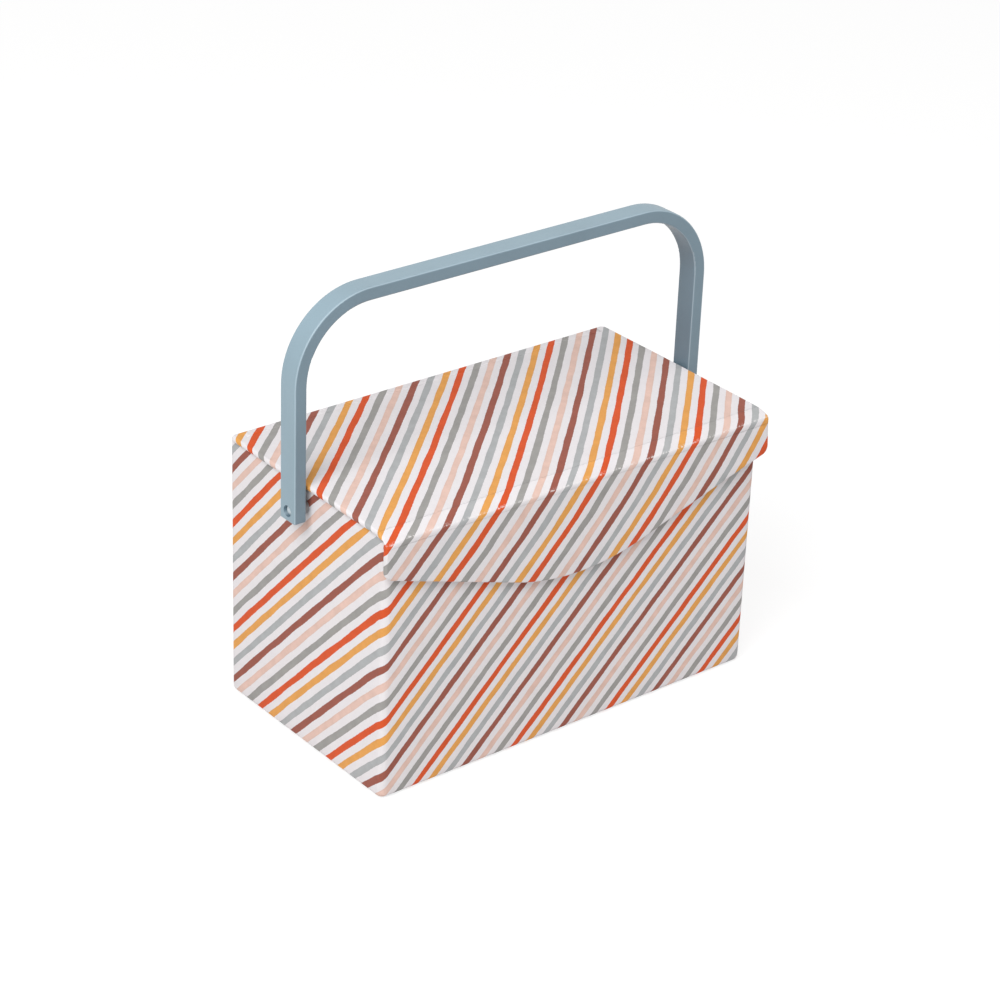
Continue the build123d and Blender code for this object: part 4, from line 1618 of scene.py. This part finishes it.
@dataclass
class PinCushion:
    """Stuffed pad sewn under the lid.

    Attributes:
        finishes: The materials.
        length: Length over the stuffing.
        width: Width over the stuffing.
        middle: Its centre.
        seat: Height of the lining that it is sewn to.
        face: Height of its face.
        seam: Width of the bag's edge that is sewn down.
        cell: Width of the cells that the cloth is cut into before it is stuffed.
        pressure: Pressure of the stuffing.
        steps: Frames that the cloth takes to settle.
        give: The most that the cloth may move.
    """

    finishes: Finishes
    length: float = 112.0
    width: float = 62.0
    middle: Point2 = (68.0, -4.0)
    seat: float = 183.0
    face: float = 173.2
    seam: float = 1.6
    cell: float = 2.6
    pressure: float = 4.0
    steps: int = 20
    give: float = 2.2

    def form(self) -> bpy.types.Object:
        """The sewn bag before it is stuffed.

        Returns:
            A closed mesh in metres.
        """
        # Share of the bag's depth, and how far it is drawn in there
        levels = ((0.0, 4.0), (0.14, 2.6), (0.34, 1.8), (0.56, 2.4), (0.76, 5.0), (0.90, 10.0), (1.0, 18.0))
        depth = self.seat - self.face
        outline = rounded_rectangle(self.length / 2, self.width / 2, 9.0, self.middle, 8)
        rows = [EdgeRow(inset, self.seat - 0.9 * depth * share, 0.0) for share, inset in levels]
        rows.reverse()
        return plate_piece(
            "pin_cushion_pad", outline, rows, plate_level, self.finishes.cushion, (68, -4, 179), back=True,
            cell=9.0,
        )

    def stuff(self, pad: bpy.types.Object) -> None:
        """Fills the bag: pressure on the cloth, with its seam held to the lining.

        Args:
            pad: The bag, which is changed.
        """
        remesh = pad.modifiers.new("cells", "REMESH")
        remesh.mode = "VOXEL"
        remesh.voxel_size = self.cell * MM
        self.apply(pad)
        held = pad.vertex_groups.new(name="seam")
        for vert in pad.data.vertices:
            if vert.co.z > (self.seat - self.seam) * MM:
                held.add([vert.index], 1.0, "REPLACE")
        start = [vert.co.copy() for vert in pad.data.vertices]
        cloth = pad.modifiers.new("stuffing", "CLOTH")
        cloth.settings.use_pressure = True
        cloth.settings.uniform_pressure_force = self.pressure
        cloth.settings.vertex_group_mass = "seam"
        cloth.settings.effector_weights.gravity = 0.0
        cloth.settings.quality = 6
        cloth.point_cache.frame_start, cloth.point_cache.frame_end = 1, self.steps
        for step in range(1, self.steps + 1):
            bpy.context.scene.frame_set(step)
        self.apply(pad)
        bpy.context.scene.frame_set(1)
        for vert, place in zip(pad.data.vertices, start):
            move = vert.co - place
            if move.length > self.give * MM:
                vert.co = place + move.normalized() * self.give * MM
            vert.co.z = min(max(vert.co.z, self.face * MM), self.seat * MM)
        pad.vertex_groups.clear()

    def apply(self, pad: bpy.types.Object) -> None:
        """Turns a piece with its modifiers into a plain mesh.

        Args:
            pad: The piece, which is changed.
        """
        graph = bpy.context.evaluated_depsgraph_get()
        old = pad.data
        pad.data = bpy.data.meshes.new_from_object(pad.evaluated_get(graph))
        pad.modifiers.clear()
        bpy.data.meshes.remove(old)

    def build(self) -> list[bpy.types.Object]:
        """Builds the pad.

        Returns:
            The pad, stuffed.
        """
        pad = self.form()
        self.stuff(pad)
        smooth = pad.modifiers.new("smooth", "SUBSURF")
        smooth.levels = smooth.render_levels = 1
        self.apply(pad)
        pad.data.shade_smooth()
        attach(pad, "lid")
        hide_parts("pin_cushion")
        return [pad]


@dataclass
class LidPocket:
    """Pocket sewn under the lid, gathered at its mouth by an elastic in the hem.

    Attributes:
        finishes: The materials.
        width: Width between its side seams.
        back: Place of the seam at its closed end.
        mouth: Place of its open edge.
        middle: Its centre along X.
        seat: Height of the lining that it is sewn to.
        drop: How far it stands off the lining.
        hem: Width of its hem.
        gathers: Number of folds at the mouth.
    """

    finishes: Finishes
    width: float = 112.0
    back: float = 44.0
    mouth: float = -52.0
    middle: float = -66.0
    seat: float = 183.0
    drop: float = 7.9
    hem: float = 8.0
    gathers: int = 17

    def stand_off(self, share: float) -> float:
        """How far the pocket stands off the lining across its width, from 0 to 1.

        Args:
            share: Place across the pocket, from -1 to 1.

        Returns:
            One in the middle, falling to nothing at the side seams.
        """
        return max(0.0, 1 - abs(share) ** 5) ** 0.7

    def x_at(self, share: float) -> float:
        """Place along X of a share of the pocket's width; the side seams lie a little further in."""
        return self.middle + share * (self.width / 2 - 0.6 * (1 - self.stand_off(share)))

    def gather(self, share: float, down: float, strength: float) -> float:
        """Height of the gathers at a place.

        Args:
            share: Place across the pocket, from -1 to 1.
            down: Distance from the mouth's hem, in millimetres.
            strength: Height of the folds at the hem.

        Returns:
            Height in millimetres.
        """
        drift = 1.3 * noise.noise(Vector((share * 2.2, 0.0, 7.0)))
        skewed = 0.02 * down * noise.noise(Vector((share * 3, 2.0, 1.0)))
        phase = math.pi * self.gathers * share + 2.4 * drift + skewed
        uneven = 0.65 + 0.7 * noise.noise(Vector((share * 6.0, 4.0, 2.0)))
        fade = math.exp(-max(0.0, down) / 34.0)
        return strength * uneven * fade * math.cos(phase)

    def panel_rows(self) -> list[list[Point3]]:
        """Rows of points from the seam at the closed end to the hem's inner edge.

        Returns:
            The rows.
        """
        back, mouth, fold = self.back, self.mouth, self.mouth + self.hem

        # Place along Y, and the share of the full stand-off that the cloth has there
        shape = [(back, 0.02), (back - 0.8, 0.22), (back - 2.4, 0.44), (back - 5.5, 0.62), (back - 11, 0.76)]
        shape += [(back - 20, 0.86), (back - 32, 0.92), (back - 46, 0.95), (back - 60, 0.96)]
        shape += [(back - 72, 0.965), (back - 80, 0.965), (fold + 1.6, 0.955), (fold + 0.4, 0.90)]
        shape += [(fold - 0.6, 0.95), (fold - 4.0, 1.0), (mouth + 0.7, 0.97), (mouth, 0.86)]
        shape += [(mouth + 0.7, 0.75), (fold - 4.0, 0.71), (fold - 0.6, 0.74)]
        spans = 150
        rows = []
        for y, stand in shape:
            row = []
            down = y - fold
            strength = 0.9 if down > 0.8 else 0.35
            for i in range(spans + 1):
                share = 2 * i / spans - 1
                off = self.stand_off(share)
                height = self.gather(share, down, strength) * min(1.0, off * 1.5) * min(1.0, stand * 2)
                z = self.seat - self.drop * stand * off + max(-0.25, height)
                row.append((self.x_at(share), y, min(z, self.seat)))
            rows.append(row)
        return rows

    def build(self) -> list[bpy.types.Object]:
        """Builds the pocket and the elastic in its hem.

        Returns:
            Both pieces.
        """
        panel = grid_piece("lid_pocket_cloth", self.panel_rows(), self.finishes.lining, (-66, -4, 188))
        thicken(panel, 0.45)
        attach(panel, "lid")
        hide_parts("lid_pocket")
        half, thick, spans = 2.7, 0.3, 60
        centre = self.mouth + self.hem / 2
        band_rows = []
        for y, z in ((-half, -thick), (half, -thick), (half, thick), (-half, thick), (-half, -thick)):
            row = []
            for i in range(spans + 1):
                share = 0.97 * (2 * i / spans - 1)
                height = self.seat - self.drop * 0.855 * self.stand_off(share) + z
                row.append((self.middle + share * self.width / 2, centre + y, height))
            band_rows.append(row)
        band = grid_piece("pocket_elastic_band", band_rows, self.finishes.elastic, (-66, -48, 176.3))
        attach(band, "lid")
        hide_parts("pocket_elastic")
        return [panel, band]


@dataclass
class StitchLine:
    """A line of sewn stitches laid along a path by Geometry Nodes.

    Attributes:
        name: Name of the piece.
        body: Body that the stitches move with.
        spacing: Distance from stitch to stitch in millimetres.
        length: Length of a stitch in millimetres.
        thickness: Thickness of the thread in millimetres.
        seed: Seed of the stitches' small unevenness.
    """

    name: str
    body: str
    spacing: float = 3.2
    length: float = 2.3
    thickness: float = 0.42
    seed: int = 7

    def tree(self, material: bpy.types.Material) -> bpy.types.NodeTree:
        """Builds the node tree that sets a stitch at each step of a path.

        Args:
            material: Material of the thread.

        Returns:
            The tree, with named inputs for its sizes.
        """
        tree = bpy.data.node_groups.new("stitches_along_path", "GeometryNodeTree")
        face = tree.interface
        face.new_socket("Geometry", in_out="INPUT", socket_type="NodeSocketGeometry")
        for name in ("Spacing", "Stitch Length", "Thread Thickness"):
            face.new_socket(name, in_out="INPUT", socket_type="NodeSocketFloat")
        face.new_socket("Seed", in_out="INPUT", socket_type="NodeSocketInt")
        face.new_socket("Geometry", in_out="OUTPUT", socket_type="NodeSocketGeometry")
        add = partial(put, tree)
        given = add("NodeGroupInput").outputs
        path = add("GeometryNodeMeshToCurve", [given["Geometry"]])
        evenly = {"Curve": path, "Length": given["Spacing"]}
        steps = add("GeometryNodeResampleCurve", evenly, mode="LENGTH")
        bead = add("GeometryNodeMeshUVSphere", {"Segments": 6, "Rings": 5, "Radius": 0.5})
        thread = given["Thread Thickness"]
        size = add("CombineXYZ", [thread, thread, given["Stitch Length"]])
        stitch = add("GeometryNodeTransform", {"Geometry": bead, "Scale": size})
        way = add("GeometryNodeInputTangent")
        turn = add("FunctionNodeAlignRotationToVector", {"Vector": way}, axis="Z")
        spread = {"Min": (0.85, 0.85, 0.88), "Max": (1.1, 1.1, 1.05), "Seed": given["Seed"]}
        uneven = add("FunctionNodeRandomValue", spread, data_type="FLOAT_VECTOR")
        each = {"Points": steps, "Instance": stitch, "Rotation": turn, "Scale": uneven}
        laid = add("GeometryNodeInstanceOnPoints", each)
        real = add("GeometryNodeRealizeInstances", [laid])
        smooth = add("GeometryNodeSetShadeSmooth", [real])
        done = add("GeometryNodeSetMaterial", {"Geometry": smooth, "Material": material})
        add("NodeGroupOutput", [done])
        return tree

    def sew(self, paths: Sequence[Sequence[Point3]], material: bpy.types.Material) -> bpy.types.Object:
        """Sews along the paths.

        Args:
            paths: Paths of the seams in millimetres.
            material: Material of the thread.

        Returns:
            All the stitches as one plain mesh.
        """
        points, edges = [], []
        for path in paths:
            first = len(points)
            points += [Vector(place) * MM for place in path]
            edges += [(first + i, first + i + 1) for i in range(len(path) - 1)]
        line = bpy.data.meshes.new(self.name)
        line.from_pydata(points, edges, [])
        piece = bpy.data.objects.new(self.name, line)
        bpy.context.scene.collection.objects.link(piece)
        tree = self.tree(material)
        modifier = piece.modifiers.new("stitches", "NODES")
        modifier.node_group = tree
        sizes = {
            "Spacing": self.spacing * MM,
            "Stitch Length": self.length * MM,
            "Thread Thickness": self.thickness * MM,
            "Seed": self.seed,
        }
        for socket in tree.interface.items_tree:
            if socket.in_out == "INPUT" and socket.name in sizes:
                modifier[socket.identifier] = sizes[socket.name]
        graph = bpy.context.evaluated_depsgraph_get()
        piece.data = bpy.data.meshes.new_from_object(piece.evaluated_get(graph))
        piece.modifiers.clear()
        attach(piece, self.body)
        return piece


@dataclass
class LidStitching:
    """The seams that hold cushion and pocket to the lining."""

    finishes: Finishes
    cushion: PinCushion
    pocket: LidPocket

    def build(self) -> list[bpy.types.Object]:
        """Sews round the cushion, round three sides of the pocket and along its hem.

        Returns:
            The stitches.
        """
        cushion, pocket = self.cushion, self.pocket
        beside_cushion, beside_pocket = 0.8, 0.9
        half_u, half_v = cushion.length / 2 + beside_cushion, cushion.width / 2 + beside_cushion
        outline = rounded_rectangle(half_u, half_v, 9.8, cushion.middle, 8)
        around = [(*point.place, cushion.seat) for point in outline]
        reach = pocket.width / 2 + beside_pocket
        left, right = pocket.middle - reach, pocket.middle + reach
        low, high = pocket.mouth + 1, pocket.back + beside_pocket
        sides = [(x, y, pocket.seat) for x, y in ((left, low), (left, high), (right, high), (right, low))]
        fold, spans = pocket.mouth + pocket.hem - 0.1, 120
        hem = []
        for i in range(spans + 1):
            share = 0.93 * (2 * i / spans - 1)
            depth = pocket.drop * 0.925 * pocket.stand_off(share)
            hem.append((pocket.x_at(share), fold, pocket.seat - depth))
        line = StitchLine("lid_stitches", "lid")
        return [line.sew([around + around[:1], sides, hem], self.finishes.thread)]


# Tray, handle and pivots


@dataclass
class HardParts:
    """Moulded, turned and painted pieces, which keep their solids and get their materials."""

    finishes: Finishes

    def build(self) -> list[bpy.types.Object]:
        """Dresses the tray, the handle and all that it turns on.

        Returns:
            The pieces.
        """
        wears = {
            "lift_out_tray": self.finishes.tray,
            "handle": self.finishes.paint,
            "pivot_screws": self.finishes.screw,
            "sleeve_nuts": self.finishes.steel,
            "inner_washers": self.finishes.steel,
            "leg_spacers": self.finishes.spacer,
        }
        for node, material in wears.items():
            dress(node, material)
        return [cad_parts[node] for node in wears]


# The studio


@dataclass
class Studio:
    """Camera, floor, soft lamps and a white surround.

    The camera's place, turn and focal length are a least-squares fit to the box's edges in the
    photograph.

    Attributes:
        place: The camera's place in metres.
        yaw: Turn of its view from +Y towards +X, in degrees.
        pitch: Tilt of its view, in degrees.
        roll: Roll of its view, in degrees.
        focal_px: Focal length for a picture 1000 pixels wide.
        aim: Point that the lamps look at, in metres.
    """

    place: Point3 = (-1.07877, -1.31755, 1.00764)
    yaw: float = 39.4037
    pitch: float = -27.2662
    roll: float = 2.2421
    focal_px: float = 2978.3
    aim: Point3 = (0.0, 0.0, 0.12)

    def camera(self) -> bpy.types.Object:
        """The camera at the photograph's place.

        Returns:
            The camera.
        """
        yaw, pitch, roll = (math.radians(a) for a in (self.yaw, self.pitch, self.roll))
        forward = Vector((math.cos(pitch) * math.sin(yaw), math.cos(pitch) * math.cos(yaw), math.sin(pitch)))
        level = forward.cross(Vector((0, 0, 1))).normalized()
        above = level.cross(forward)
        right = math.cos(roll) * level + math.sin(roll) * above
        up = -math.sin(roll) * level + math.cos(roll) * above
        lens = bpy.data.cameras.new("camera")
        lens.sensor_width = 36.0
        lens.lens = self.focal_px * lens.sensor_width / 1000
        lens.clip_start, lens.clip_end = 0.01, 50.0
        camera = bpy.data.objects.new("camera", lens)
        bpy.context.scene.collection.objects.link(camera)
        turn = Matrix((right, up, -forward)).transposed()
        camera.matrix_world = Matrix.Translation(self.place) @ turn.to_4x4()
        bpy.context.scene.camera = camera
        return camera

    def seen(self, add: AddNode) -> Node:
        """Tells rays that the camera sees from those that only carry light.

        Args:
            add: Puts nodes in a tree.

        Returns:
            One for a ray seen straight, in a mirror or through glass, and nothing for others.
        """
        ray = add("LightPath").outputs
        seen = add("Math", [ray["Is Camera Ray"], ray["Is Glossy Ray"]], operation="MAXIMUM")
        return add("Math", [seen, ray["Is Transmission Ray"]], operation="MAXIMUM")

    def floor(self) -> bpy.types.Object:
        """Plain pale floor that looks white to the camera and keeps the box's shadow.

        Returns:
            The floor.
        """
        mesh = bpy.data.meshes.new("floor")
        half = 3.0
        corners = [(-half, -half, 0), (half, -half, 0), (half, half, 0), (-half, half, 0)]
        mesh.from_pydata(corners, [], [(0, 1, 2, 3)])
        material, add = new_material("pale_floor")
        matt = add("BsdfDiffuse", {"Color": (0.74, 0.74, 0.74, 1.0)})
        faint = add("BsdfDiffuse", {"Color": (0.30, 0.30, 0.30, 1.0)})
        glow = add("Emission", {"Color": (1.0, 1.0, 1.0, 1.0), "Strength": 0.78})
        bright = add("AddShader", [faint, glow])
        add("OutputMaterial", [add("MixShader", [self.seen(add), matt, bright])])
        mesh.materials.append(material)
        floor = bpy.data.objects.new("floor", mesh)
        bpy.context.scene.collection.objects.link(floor)
        return floor

    def surround(self) -> None:
        """Even light from all round, which the camera sees as white."""
        world = bpy.data.worlds.new("surround")
        world.use_nodes = True
        world.node_tree.nodes.clear()
        add = partial(put, world.node_tree)
        around = add("Background", {"Color": (1.0, 0.99, 0.985, 1.0), "Strength": 0.41})
        white = add("Background", {"Color": (1.0, 1.0, 1.0, 1.0), "Strength": 1.0})
        add("OutputWorld", [add("MixShader", [self.seen(add), around, white])])
        bpy.context.scene.world = world

    def lamp(self, name: str, place: Point3, size: float, power: float) -> None:
        """Adds one large soft lamp that looks at the box.

        Args:
            name: The lamp's name.
            place: Its place in metres.
            size: Its width in metres.
            power: Its power in watts.
        """
        data = bpy.data.lights.new(name, "AREA")
        data.shape = "DISK"
        data.size = size
        data.energy = power
        lamp = bpy.data.objects.new(name, data)
        lamp.location = place
        lamp.rotation_euler = (Vector(self.aim) - Vector(place)).to_track_quat("-Z", "Y").to_euler()
        bpy.context.scene.collection.objects.link(lamp)

    def build(self) -> None:
        """Sets up the whole studio."""
        self.camera()
        self.floor()
        self.surround()
        self.lamp("lamp_left", (-1.95, -0.75, 2.3), 2.0, 62.0)
        self.lamp("lamp_front", (0.1, -1.6, 2.6), 1.6, 20.0)
        bpy.context.scene.view_settings.view_transform = "Standard"


def main() -> None:
    """Builds the box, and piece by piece."""
    logging.basicConfig(level=logging.INFO, format="%(message)s")
    finishes = Finishes()
    cushion, pocket = PinCushion(finishes), LidPocket(finishes)
    parts = (
        BoxBody(finishes),
        Lid(finishes),
        Flap(finishes),
        cushion,
        pocket,
        LidStitching(finishes, cushion, pocket),
        HardParts(finishes),
    )
    for part in parts:
        for piece in part.build():
            LOG.info("%s: %s", type(part).__name__, piece.name)
    Studio().build()


if __name__ == "__main__":
    main()
